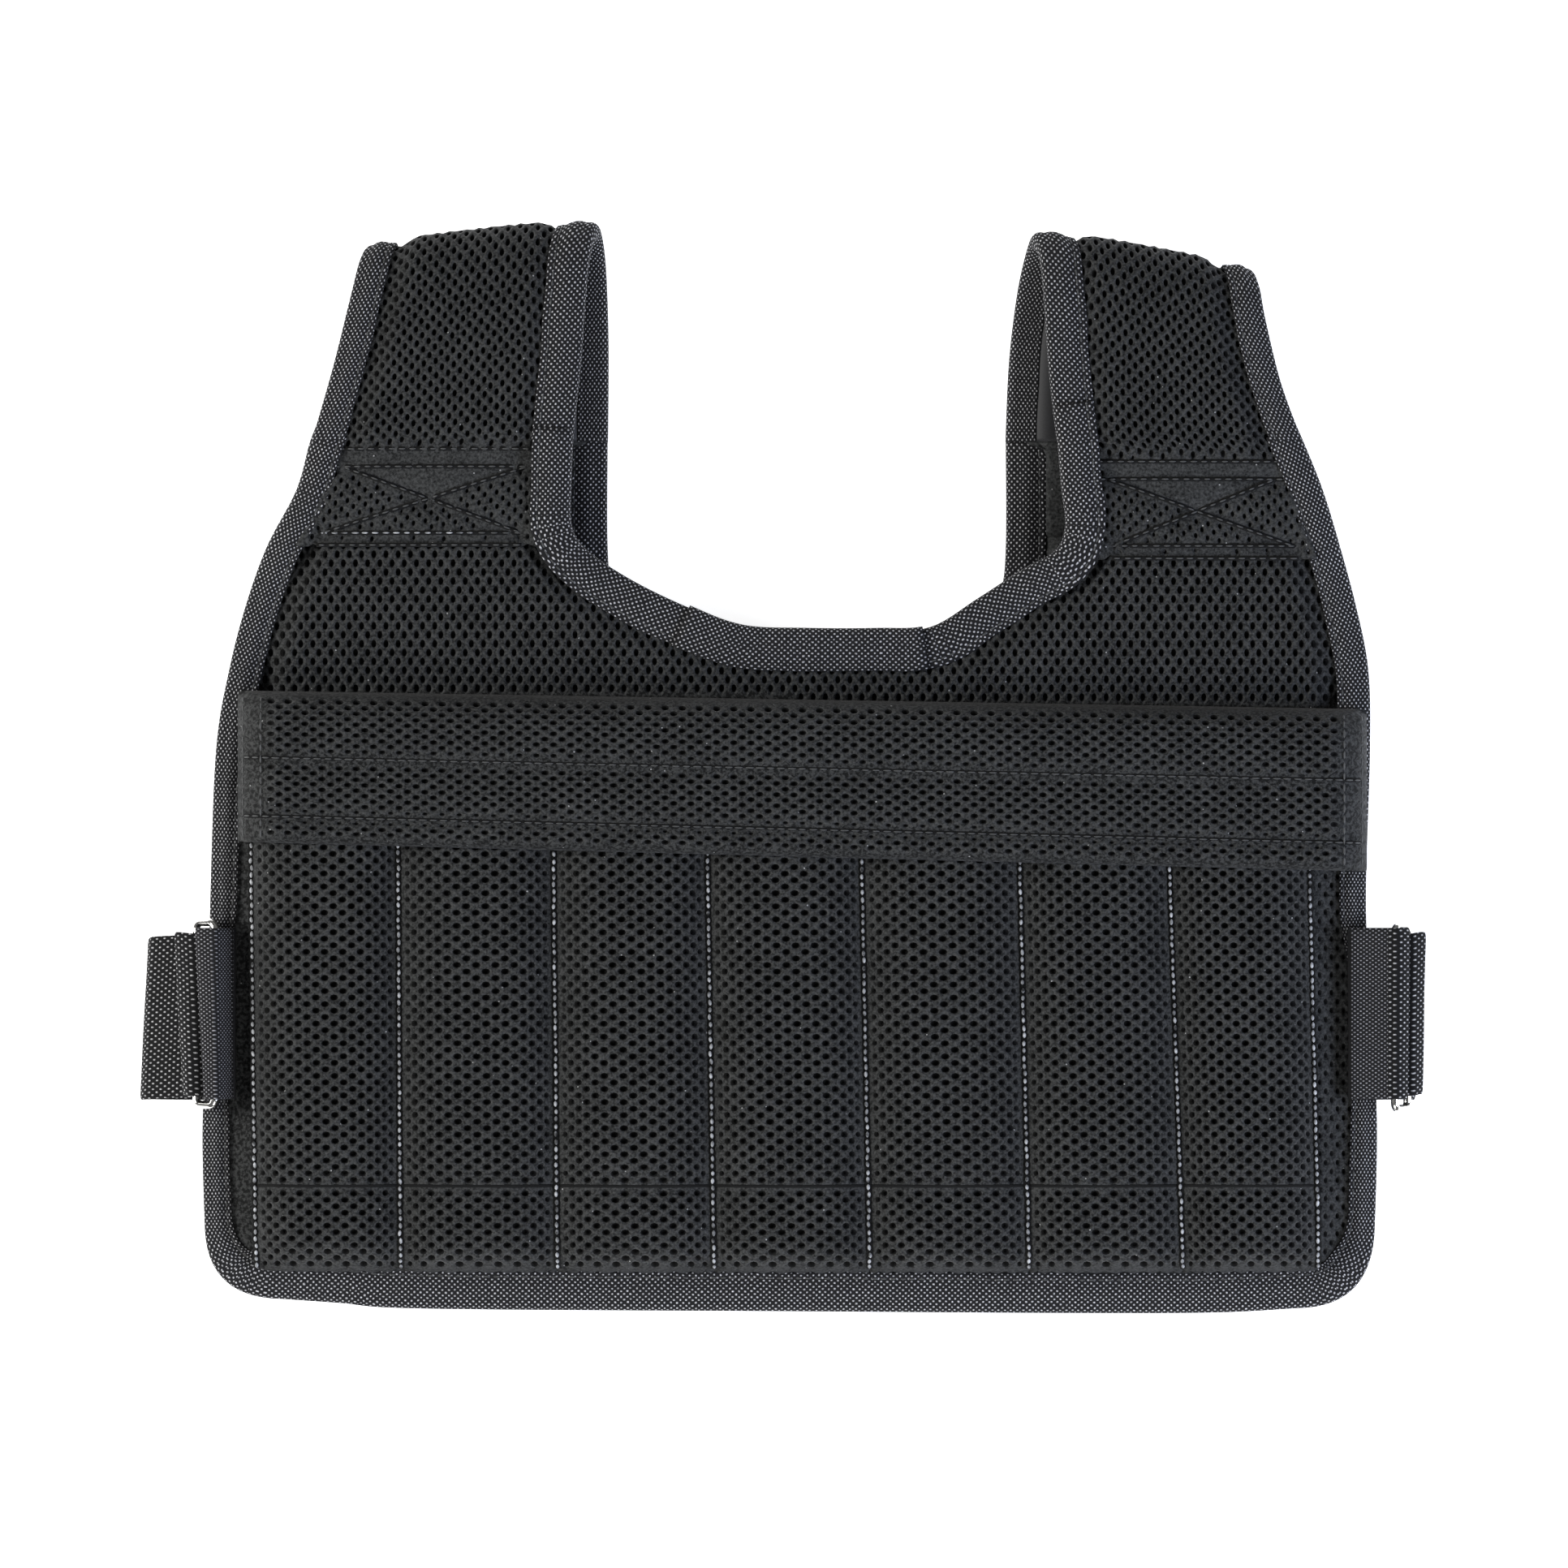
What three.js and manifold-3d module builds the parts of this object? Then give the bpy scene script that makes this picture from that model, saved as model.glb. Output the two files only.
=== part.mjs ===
// A weighted training vest, laid down flat with its front panel up.
// A padded front panel and a padded back panel are joined by two padded
// shoulder straps, and at each side by webbing through a wire ring. A row of
// pockets for weights stands on the front panel, under one wide flap.
// Millimetres. X runs across the vest, Y from hem to shoulders, Z off the floor.

import * as THREE from 'three';
import { mergeVertices } from 'three/addons/utils/BufferGeometryUtils.js';
import Module from 'manifold-3d';

const wasm = await Module();
wasm.setup();

// Main sizes.
const PANEL_WIDTH = 361; // side seam to side seam, under the binding
const VEST_LENGTH = 335; // hem to the top of the shoulder fold
const HALF_WIDTH = PANEL_WIDTH / 2;

// Cloth and padding.
const PANEL_THICKNESS = 8; // air mesh, foam and lining of a panel
const EDGE_THICKNESS = 3; // a panel's edge, pressed flat in its binding
const TAPE_THICKNESS = 1.2; // binding tape
const BINDING_REACH = 11; // how far one leg of the folded tape covers the panel
const SEAM_GAP = 0.3; // clearance between neighbouring pieces
const EDGE_LEVEL = TAPE_THICKNESS + SEAM_GAP; // from the binding's outside to the pressed edge in it
const EDGE_TOP = EDGE_LEVEL + EDGE_THICKNESS;
const BINDING_HEIGHT = EDGE_TOP + EDGE_LEVEL;
const PAD_START = BINDING_REACH + 1; // distance from a panel's edge to its padding
const PAD_SLOPE = 5; // width of the padding's rounded shoulder
const CORNER_RADIUS = 24; // bottom corners of the panels
const BACK_INSET = 2.5; // the back panel's hem lies this much higher than the front's
const SHOULDER = 0.7945; // share of the length at which panels end and straps begin

// How far the front panel arches over the back panel, in its middle and at its
// sides: at the hem, at the chest, and how far up from the hem it grows to that.
const ARCH = {
  centre: { hem: 11, chest: 14.5, run: 200 },
  edge: { hem: 2.5, chest: 7.5, run: 60 },
};
const ARCH_ROWS = [0, 0.045, 0.08, 0.115, 0.15, 0.185, 0.22, 0.3, 0.4, 0.5, 0.65, 1];

// Pockets.
const POCKET_COUNT = 7;
const POCKET_HEIGHT = 11.5; // bulge over the panel's face
const POCKET_WALL = 2.5;
const POCKET_FOOT = 12.6; // hem to the pocket's closed end
const POCKET_MOUTH = 169; // hem to the pocket's open end, under the flap
const POCKET_SEAM = 39; // hem to the seam across the pockets
const POCKET_FULLNESS = 2.4; // exponent of the pocket's rounded section

// Flap over the pocket mouths.
const FLAP_THICKNESS = 3;
const FLAP_PUFF = 1.2; // how much its channels stand out between their stitch lines
const FLAP_ROLL = 14; // width over which each end of the flap comes down to the panel
const FLAP_DROP = 14; // how far below its top seam the flap reaches its full height

// Shoulder straps.
const STRAP_PAD = 3.8; // padding above the strap's middle layer
const STRAP_CROWN = 0.8; // rise of the padding from the binding to the strap's middle
const STRAP_EASE = 0.2; // extra room between a strap and its bindings, which bend together
const STRAP_EDGE = EDGE_THICKNESS - 2 * STRAP_EASE; // a strap's edge, pressed flat
const LINING_THICKNESS = 1;
const STRAP_STEPS = 3; // lofted sections for each row of a strap's table
const STRAP_SEAT = EDGE_TOP + 0.9 + EDGE_THICKNESS / 2; // middle of a strap's end over a panel's underside

// Webbing and wire at the sides.
const WEBBING_THICKNESS = 1.6;
const TAB_WIDTH = 52.6; // fine webbing that holds a ring on the front panel
const STRAP_WIDTH = 50; // coarse webbing from the back panel
const TAB_CENTRE = 91; // hem to the middle of the side webbing
const WIRE_DIAMETER = 2.5;
const RING_OPENING = { length: TAB_WIDTH + 1, width: 5.3 };
const RING_CORNER = 2; // radius of the wire's middle line at the ring's corners

// Each side, in millimetres outward from the front panel's edge: how far the
// tab laps over the panel; the ring's middle, its rise over the binding and its
// tilt in degrees; the fold of the side strap's end; the strap's outer bend; and
// the angle at which the strap comes to the ring's outer bar.
const SIDES = {
  left: { sign: -1, bite: 8.4, ring: { out: 0.5, rise: 5, tilt: 42 }, fold: 9, bend: 20.3, entry: 250, lean: 1.3 },
  right: { sign: 1, bite: 7, ring: { out: 8.8, rise: 1.4, tilt: 58 }, fold: 16.2, bend: 13.6, entry: 215, lean: 0.4 },
};

// Outlines over the bindings. Sides run from the bottom corners to the shoulders:
// up is a share of the length, left, right and across are shares of half the width.
const FRONT_SIDES = [
  { up: 0.078, left: 0.997, right: 1.0 },
  { up: 0.17, left: 1.0, right: 1.003 },
  { up: 0.27, left: 0.99, right: 0.994 },
  { up: 0.37, left: 0.987, right: 0.984 },
  { up: 0.513, left: 0.977, right: 0.991 },
  { up: 0.588, left: 0.954, right: 0.988 },
  { up: 0.648, left: 0.925, right: 0.966 },
  { up: 0.701, left: 0.889, right: 0.939 },
  { up: 0.752, left: 0.839, right: 0.91 },
  { up: 0.795, left: 0.817, right: 0.878 },
];

const BACK_SIDES = [
  { up: 0.085, left: 0.985, right: 0.988 },
  { up: 0.17, left: 0.986, right: 0.99 },
  { up: 0.37, left: 0.973, right: 0.97 },
  { up: 0.513, left: 0.963, right: 0.976 },
  { up: 0.588, left: 0.938, right: 0.97 },
  { up: 0.648, left: 0.905, right: 0.94 },
  { up: 0.701, left: 0.855, right: 0.9 },
  { up: 0.752, left: 0.785, right: 0.83 },
  { up: 0.795, left: 0.745, right: 0.78 },
];

// The hem's gentle line, from left to right.
const HEM_LINE = [
  { across: -0.865, up: 0.0085 },
  { across: -0.765, up: 0.005 },
  { across: -0.62, up: 0 },
  { across: 0, up: -0.002 },
  { across: 0.45, up: -0.0038 },
  { across: 0.72, up: -0.0038 },
  { across: 0.865, up: 0 },
];

// Necklines, from the left shoulder round to the right one.
const FRONT_NECK = [
  { across: -0.367, up: 0.795 },
  { across: -0.37, up: 0.755 },
  { across: -0.369, up: 0.718 },
  { across: -0.344, up: 0.697 },
  { across: -0.27, up: 0.67 },
  { across: -0.175, up: 0.645 },
  { across: -0.08, up: 0.626 },
  { across: 0.03, up: 0.623 },
  { across: 0.15, up: 0.623 },
  { across: 0.24, up: 0.626 },
  { across: 0.32, up: 0.652 },
  { across: 0.4, up: 0.68 },
  { across: 0.455, up: 0.697 },
  { across: 0.47, up: 0.72 },
  { across: 0.463, up: 0.755 },
  { across: 0.457, up: 0.795 },
];

const BACK_NECK = [
  { across: -0.31, up: 0.795 },
  { across: -0.31, up: 0.7 },
  { across: -0.3, up: 0.655 },
  { across: -0.265, up: 0.625 },
  { across: -0.19, up: 0.603 },
  { across: -0.08, up: 0.594 },
  { across: 0.03, up: 0.592 },
  { across: 0.15, up: 0.595 },
  { across: 0.25, up: 0.606 },
  { across: 0.325, up: 0.628 },
  { across: 0.361, up: 0.658 },
  { across: 0.371, up: 0.7 },
  { across: 0.371, up: 0.795 },
];

// Seams between the pockets, at the pocket mouths and at the hem.
const POCKET_SEAMS = [
  { mouth: -0.917, hem: -0.906 },
  { mouth: -0.665, hem: -0.66 },
  { mouth: -0.401, hem: -0.393 },
  { mouth: -0.141, hem: -0.126 },
  { mouth: 0.12, hem: 0.139 },
  { mouth: 0.388, hem: 0.41 },
  { mouth: 0.64, hem: 0.673 },
  { mouth: 0.881, hem: 0.903 },
];

// Height of a pocket along its length, from its closed end to its mouth.
const POCKET_PROFILE = [
  { along: 0, height: 0.4 },
  { along: 0.02, height: 0.72 },
  { along: 0.08, height: 0.92 },
  { along: 0.14, height: 0.9 },
  { along: 0.17, height: 0.76 },
  { along: 0.2, height: 0.9 },
  { along: 0.3, height: 1 },
  { along: 0.62, height: 1 },
  { along: 0.85, height: 0.95 },
  { along: 1, height: 0.85 },
];

// The flap's edges, as shares of the half width and of the length.
const FLAP_ENDS = {
  left: { across: -0.936, bottom: 0.43, top: 0.567 },
  right: { across: 0.982, bottom: 0.403, top: 0.55 },
};
const FLAP_CHANNELS = [0, 0.17, 0.56, 1]; // stitch lines, from lower edge to top seam
const FLAP_ACROSS = [0, 0.004, 0.012, 0.022, 0.036, 0.12, 0.22, 0.33, 0.44, 0.56, 0.67, 0.78, 0.88, 0.964, 0.978, 0.988, 0.996, 1];

// Each strap from its end on the front panel, up over the shoulder fold, and
// down to its end on the back panel. Rise is 1 on the front and 0 on the back.
const LEFT_STRAP = [
  { inner: -0.442, innerUp: 0.7, outer: -0.792, outerUp: 0.7, rise: 1, end: true },
  { inner: -0.438, innerUp: 0.7965, outer: -0.74, outerUp: 0.7965, rise: 1, end: true },
  { inner: -0.367, innerUp: 0.7973, outer: -0.812, outerUp: 0.7973, rise: 1 },
  { inner: -0.353, innerUp: 0.87, outer: -0.775, outerUp: 0.867, rise: 1 },
  { inner: -0.343, innerUp: 0.943, outer: -0.746, outerUp: 0.93, rise: 0.97 },
  { inner: -0.334, innerUp: 0.977, outer: -0.732, outerUp: 0.959, rise: 0.81 },
  { inner: -0.323, innerUp: 0.9905, outer: -0.722, outerUp: 0.968, rise: 0.5 },
  { inner: -0.316, innerUp: 0.977, outer: -0.72, outerUp: 0.956, rise: 0.19 },
  { inner: -0.311, innerUp: 0.943, outer: -0.722, outerUp: 0.925, rise: 0.03 },
  { inner: -0.308, innerUp: 0.88, outer: -0.73, outerUp: 0.87, rise: 0 },
  { inner: -0.309, innerUp: 0.7973, outer: -0.742, outerUp: 0.7973, rise: 0 },
  { inner: -0.38, innerUp: 0.7965, outer: -0.67, outerUp: 0.7965, rise: 0, end: true },
  { inner: -0.38, innerUp: 0.71, outer: -0.7, outerUp: 0.71, rise: 0, end: true },
];

const RIGHT_STRAP = [
  { inner: 0.54, innerUp: 0.688, outer: 0.852, outerUp: 0.688, rise: 1, end: true },
  { inner: 0.532, innerUp: 0.7965, outer: 0.806, outerUp: 0.7965, rise: 1, end: true },
  { inner: 0.455, innerUp: 0.7973, outer: 0.874, outerUp: 0.7973, rise: 1 },
  { inner: 0.442, innerUp: 0.86, outer: 0.838, outerUp: 0.85, rise: 1 },
  { inner: 0.433, innerUp: 0.93, outer: 0.812, outerUp: 0.907, rise: 0.97 },
  { inner: 0.426, innerUp: 0.967, outer: 0.802, outerUp: 0.935, rise: 0.81 },
  { inner: 0.414, innerUp: 0.982, outer: 0.792, outerUp: 0.946, rise: 0.5 },
  { inner: 0.403, innerUp: 0.967, outer: 0.784, outerUp: 0.931, rise: 0.19 },
  { inner: 0.389, innerUp: 0.93, outer: 0.776, outerUp: 0.9, rise: 0.03 },
  { inner: 0.376, innerUp: 0.87, outer: 0.773, outerUp: 0.85, rise: 0 },
  { inner: 0.37, innerUp: 0.7973, outer: 0.776, outerUp: 0.7973, rise: 0 },
  { inner: 0.44, innerUp: 0.7965, outer: 0.695, outerUp: 0.7965, rise: 0, end: true },
  { inner: 0.44, innerUp: 0.71, outer: 0.73, outerUp: 0.71, rise: 0, end: true },
];

const mix = THREE.MathUtils.lerp;
const clamp = THREE.MathUtils.clamp;

// Materials.
const black = (name, colour, roughness, metalness = 0) =>
  new THREE.MeshStandardMaterial({ name, color: colour, roughness, metalness });
const AIR_MESH = black('air_mesh', 0x2e2f30, 0.85);
const BINDING_TAPE = black('binding_tape', 0x3a3a3c, 0.7);
const WEBBING = black('webbing', 0x39393c, 0.65);
const LINING = black('lining', 0x26272a, 0.6);
const WIRE = black('nickel_wire', 0xc9c9c6, 0.25, 1);

// Height over the floor of the front panel's underside.
function frontLevel(x, y) {
  const gap = ({ hem, chest, run }) => mix(hem, chest, Math.sin((Math.PI / 2) * Math.min(y / run, 1)));
  return PANEL_THICKNESS + mix(gap(ARCH.centre), gap(ARCH.edge), (x / HALF_WIDTH) ** 2);
}

// The back panel lies flat on the floor.
function backLevel() {
  return 0;
}

// A closed body from triangles of points, with its faces pointing out.
function bodyFrom(triangles) {
  const geometry = new THREE.BufferGeometry().setFromPoints(triangles.flat());
  const volume = triangles.reduce((sum, [a, b, c]) => sum + a.dot(b.clone().cross(c)), 0);
  if (volume < 0) {
    return bodyFrom(triangles.map(([a, b, c]) => [a, c, b]));
  }
  return mergeVertices(geometry, 1e-4);
}

// Two triangles across four corners given in order.
const quad = (a, b, c, d) => [[a, b, c], [a, c, d]];

// A loft through sections that all have as many points, in the order of their
// outline. A closed loft joins its last section to its first, and an open one
// gets flat ends.
function loft(sections, outline, closed = false) {
  const triangles = [];
  const backwards = THREE.ShapeUtils.isClockWise(outline);
  const spans = closed ? sections.length : sections.length - 1;
  for (let i = 0; i < spans; i++) {
    const [here, next] = [sections[i], sections[(i + 1) % sections.length]];
    for (let j = 0; j < outline.length; j++) {
      const ahead = (j + 1) % outline.length;
      const [a, b] = backwards ? [ahead, j] : [j, ahead];
      triangles.push(...quad(here[a], here[b], next[b], next[a]));
    }
  }
  if (!closed) {
    const [first, last] = [sections[0], sections[sections.length - 1]];
    for (const [a, b, c] of THREE.ShapeUtils.triangulateShape([...outline], [])) {
      triangles.push([first[a], first[c], first[b]], [last[a], last[b], last[c]]);
    }
  }
  return bodyFrom(triangles);
}

// A closed sheet over a grid of shares u and v, between two surfaces.
function gridBody(us, vs, lower, upper) {
  const low = us.map((u) => vs.map((v) => lower(u, v)));
  const high = us.map((u) => vs.map((v) => upper(u, v)));
  const triangles = [];
  const m = us.length - 1;
  const n = vs.length - 1;
  for (let i = 0; i < m; i++) {
    for (let j = 0; j < n; j++) {
      triangles.push(...quad(high[i][j], high[i + 1][j], high[i + 1][j + 1], high[i][j + 1]));
      triangles.push(...quad(low[i][j + 1], low[i + 1][j + 1], low[i + 1][j], low[i][j]));
    }
    triangles.push(...quad(low[i][0], low[i + 1][0], high[i + 1][0], high[i][0]));
    triangles.push(...quad(high[i][n], high[i + 1][n], low[i + 1][n], low[i][n]));
  }
  for (let j = 0; j < n; j++) {
    triangles.push(...quad(low[0][j + 1], low[0][j], high[0][j], high[0][j + 1]));
    triangles.push(...quad(low[m][j], low[m][j + 1], high[m][j + 1], high[m][j]));
  }
  return bodyFrom(triangles);
}

const steps = (count) => Array.from({ length: count + 1 }, (_, i) => i / count);

// Into the boolean library and back.
function toSolid(geometry) {
  const bare = new THREE.BufferGeometry();
  bare.setAttribute('position', geometry.getAttribute('position'));
  bare.setIndex(geometry.getIndex());
  const merged = mergeVertices(bare, 1e-4);
  return new wasm.Manifold(new wasm.Mesh({
    numProp: 3,
    vertProperties: merged.getAttribute('position').array,
    triVerts: new Uint32Array(merged.getIndex().array),
  }));
}

function toGeometry(solid) {
  const mesh = solid.getMesh();
  const geometry = new THREE.BufferGeometry();
  geometry.setAttribute('position', new THREE.BufferAttribute(Float32Array.from(mesh.vertProperties), 3));
  geometry.setIndex(Array.from(mesh.triVerts));
  return geometry;
}

// Moves the points of an outline sideways, to the left of the way it runs.
function offsetOutline(points, distance, closed = true) {
  const count = points.length;
  return points.map((point, i) => {
    const before = points[closed ? (i + count - 1) % count : Math.max(i - 1, 0)];
    const after = points[closed ? (i + 1) % count : Math.min(i + 1, count - 1)];
    const into = point.clone().sub(before);
    const out = after.clone().sub(point);
    if (into.lengthSq() === 0) into.copy(out);
    if (out.lengthSq() === 0) out.copy(into);
    const sideIn = new THREE.Vector2(-into.y, into.x).normalize();
    const sideOut = new THREE.Vector2(-out.y, out.x).normalize();
    const side = sideIn.clone().add(sideOut).normalize();
    return point.clone().addScaledVector(side, distance / Math.max(side.dot(sideIn), 0.5));
  });
}

// Points along a smooth line through the given ones.
function smoothLine(points, pieces) {
  return new THREE.SplineCurve(points).getSpacedPoints(pieces);
}

// The two lines of a panel's cloth that its bindings follow: one from the right
// shoulder down round the hem and up to the left shoulder, and the neckline.
// Each has the cloth on its left, and runs on past the shoulders.
function panelLines(sides, neck, hemRise) {
  const at = (across, up) => new THREE.Vector2(across * HALF_WIDTH, up * VEST_LENGTH);
  const side = (key, sign) => smoothLine(sides.map((row) => at(sign * row[key], row.up)), 12);
  const [left, right] = [side('left', -1), side('right', 1)];
  const hem = HEM_LINE.map(({ across, up }) => at(across, up).add(new THREE.Vector2(0, hemRise)));
  hem[0].x = left[0].x + CORNER_RADIUS;
  hem[hem.length - 1].x = right[0].x - CORNER_RADIUS;
  const corner = (from, to, square) => new THREE.QuadraticBezierCurve(from, square, to).getPoints(5).slice(1, -1);
  const hemLine = smoothLine(hem, 9);
  const [first, last] = [hemLine[0], hemLine[hemLine.length - 1]];
  const edge = [
    ...left.slice().reverse(),
    ...corner(left[0], first, new THREE.Vector2(left[0].x, first.y)),
    ...hemLine,
    ...corner(last, right[0], new THREE.Vector2(right[0].x, last.y)),
    ...right,
  ];
  const neckLine = smoothLine(neck.map(({ across, up }) => at(across, up)).reverse(), 20);
  return { edge: pastShoulders(offsetOutline(edge, EDGE_LEVEL, false)), neck: pastShoulders(offsetOutline(neckLine, EDGE_LEVEL, false)) };
}

// Lengthens a line at both ends, in the direction that it has there.
function pastShoulders(line) {
  const beyond = (end, before) => end.clone().add(end.clone().sub(before).setLength(BINDING_REACH));
  const last = line.length - 1;
  return [beyond(line[0], line[1]), ...line, beyond(line[last], line[last - 1])];
}

// The whole outline, counterclockwise.
function wholeOutline(lines) {
  return [...lines.edge, ...lines.neck];
}

// Cuts a solid off level with the shoulders.
function cutAtShoulders(solid) {
  return solid.trimByPlane([0, -1, 0], -SHOULDER * VEST_LENGTH);
}

// How far a point lies from a side of an outline.
function distanceToSide(point, start, end) {
  const side = end.clone().sub(start);
  const along = clamp(point.clone().sub(start).dot(side) / side.lengthSq(), 0, 1);
  return point.distanceTo(start.clone().addScaledVector(side, along));
}

// Leaves out the points of an outline that lie within a tolerance of a straight
// line between the ones that stay.
function simplified(outline, tolerance) {
  let from = 0;
  const stays = [outline[from]];
  for (let to = 2; to < outline.length; to++) {
    const between = outline.slice(from + 1, to);
    if (between.some((point) => distanceToSide(point, outline[from], outline[to]) > tolerance)) {
      from = to - 1;
      stays.push(outline[from]);
    }
  }
  return [...stays, outline[outline.length - 1]];
}

// The padding's outline: inside the bindings, and below the strap seats. Where
// the panel's outline turns, the moved points that come too near to it are left out.
function padOutline(lines, top) {
  const outline = wholeOutline(lines).filter((point) => point.y < top);
  const clearance = (point) => Math.min(...outline.map((start, i) =>
    distanceToSide(point, start, outline[(i + 1) % outline.length])));
  const inside = offsetOutline(outline, PAD_START)
    .filter((point) => clearance(point) > PAD_START - PAD_SLOPE / 10);
  return simplified(inside, PAD_SLOPE / 10);
}

// A prism through an outline, over the whole height of the vest.
function prism(outline) {
  const geometry = new THREE.ExtrudeGeometry(new THREE.Shape(outline), {
    depth: 4 * PANEL_THICKNESS + ARCH.centre.chest,
    bevelEnabled: false,
  });
  return toSolid(geometry.translate(0, 0, -PANEL_THICKNESS));
}

// The layer of cloth between two heights over a panel's underside.
function layer(level, low, high) {
  const spread = 1.1;
  const x = (u) => mix(-spread, spread, u) * HALF_WIDTH;
  const y = (v) => mix(-0.05, 1.05, v) * VEST_LENGTH;
  const point = (height) => (u, v) => new THREE.Vector3(x(u), y(v), level(x(u), y(v)) + height);
  const flat = level === backLevel;
  return toSolid(gridBody(flat ? [0, 1] : steps(12), flat ? [0, 1] : ARCH_ROWS, point(low), point(high)));
}

// Padding that slopes from the pressed edge up to the panel's full thickness.
function padding(lines, level, top) {
  const outline = padOutline(lines, top);
  const overshoot = 2 * PANEL_THICKNESS;
  const profile = [
    { inset: 0, height: -overshoot },
    { inset: 0, height: EDGE_TOP },
    { inset: PAD_SLOPE * 0.35, height: mix(EDGE_TOP, PANEL_THICKNESS, 0.65) },
    { inset: PAD_SLOPE, height: PANEL_THICKNESS },
    { inset: PAD_SLOPE, height: PANEL_THICKNESS + overshoot },
  ];
  const sections = profile.map(({ inset, height }) =>
    offsetOutline(outline, inset).map(({ x, y }) => new THREE.Vector3(x, y, level(x, y) + height)));
  return toSolid(loft(sections, outline)).intersect(layer(level, 0, PANEL_THICKNESS));
}

// A panel: its pressed edge with the padding on it.
function panel(lines, level, padTop) {
  const edge = prism(wholeOutline(lines)).intersect(layer(level, EDGE_LEVEL, EDGE_TOP));
  return toGeometry(cutAtShoulders(edge).add(padding(lines, level, padTop)));
}

// The section of a folded binding: x is the reach over the cloth from its edge,
// y the height over the binding's underside.
function bindingSection(reach = BINDING_REACH) {
  const fold = -(TAPE_THICKNESS + SEAM_GAP);
  const chamfer = TAPE_THICKNESS;
  return [
    [reach, 0],
    [fold + chamfer, 0],
    [fold, chamfer],
    [fold, BINDING_HEIGHT - chamfer],
    [fold + chamfer, BINDING_HEIGHT],
    [reach, BINDING_HEIGHT],
    [reach, BINDING_HEIGHT - TAPE_THICKNESS],
    [-SEAM_GAP, BINDING_HEIGHT - TAPE_THICKNESS],
    [-SEAM_GAP, TAPE_THICKNESS],
    [reach, TAPE_THICKNESS],
  ].map(([x, y]) => new THREE.Vector2(x, y));
}

// Tape folded over a panel's edge, along one of its lines.
function panelBinding(line, level) {
  const section = bindingSection();
  const rows = section.map(({ x }) => offsetOutline(line, x, false));
  const sections = line.map((_, i) => section.map(({ y }, j) => {
    const point = rows[j][i];
    return new THREE.Vector3(point.x, point.y, level(point.x, point.y) + y);
  }));
  return toGeometry(cutAtShoulders(toSolid(loft(sections, section))));
}

// A pocket stands between two seams. The place of a seam at a height over the hem:
function seamAcross(index, y) {
  const { mouth, hem } = POCKET_SEAMS[index];
  return mix(hem, mouth, y / POCKET_MOUTH) * HALF_WIDTH;
}

// One half of a pocket: its outside, or the room inside it.
function pocketBody(index, wall, from, rows, floor) {
  const arc = steps(6).map((share) => {
    const turn = Math.PI * (1 - share);
    const power = 2 / POCKET_FULLNESS;
    const across = Math.sign(Math.cos(turn)) * Math.abs(Math.cos(turn)) ** power;
    return { across, height: Math.sin(turn) ** power };
  });
  const outline = [{ across: -1, height: 0 }, ...arc.slice(1, -1), { across: 1, height: 0 }];
  const face = PANEL_THICKNESS + SEAM_GAP;
  const sections = rows.map(({ along, height }) => {
    const y = mix(from, POCKET_MOUTH, along);
    const left = seamAcross(index, y) + SEAM_GAP + wall;
    const right = seamAcross(index + 1, y) - SEAM_GAP - wall;
    const place = (share, h) => {
      const x = mix(left, right, (share + 1) / 2);
      return new THREE.Vector3(x, y, frontLevel(x, y) + face + h);
    };
    const rise = POCKET_HEIGHT * height - wall;
    return [
      place(-1, floor),
      ...outline.map((point) => place(point.across, Math.max(rise * point.height, floor))),
      place(1, floor),
    ];
  });
  const flat = [[-1, -1], ...outline.map((p) => [p.across, p.height]), [1, -1]];
  return toSolid(loft(sections, flat.map(([x, y]) => new THREE.Vector2(x, y))));
}

// The height of a pocket at a share of its length.
function pocketRise(along) {
  const after = Math.max(1, POCKET_PROFILE.findIndex((row) => row.along >= along));
  const [a, b] = [POCKET_PROFILE[after - 1], POCKET_PROFILE[after]];
  return mix(a.height, b.height, (along - a.along) / (b.along - a.along));
}

// A pocket for one weight, closed at the hem, open at its mouth and to the panel.
function pocket(index) {
  const outside = pocketBody(index, 0, POCKET_FOOT, POCKET_PROFILE, -0.001);
  const start = POCKET_SEAM + POCKET_WALL;
  const length = POCKET_MOUTH - POCKET_FOOT;
  const rows = [0, 0.06, 0.3, 0.8, 1, 1.02].map((share) => {
    const y = mix(start, POCKET_MOUTH, share);
    return { along: share, height: pocketRise(clamp((y - POCKET_FOOT) / length, 0, 1)) };
  });
  const room = pocketBody(index, POCKET_WALL, start, rows, -1);
  return toGeometry(outside.subtract(room));
}

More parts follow.
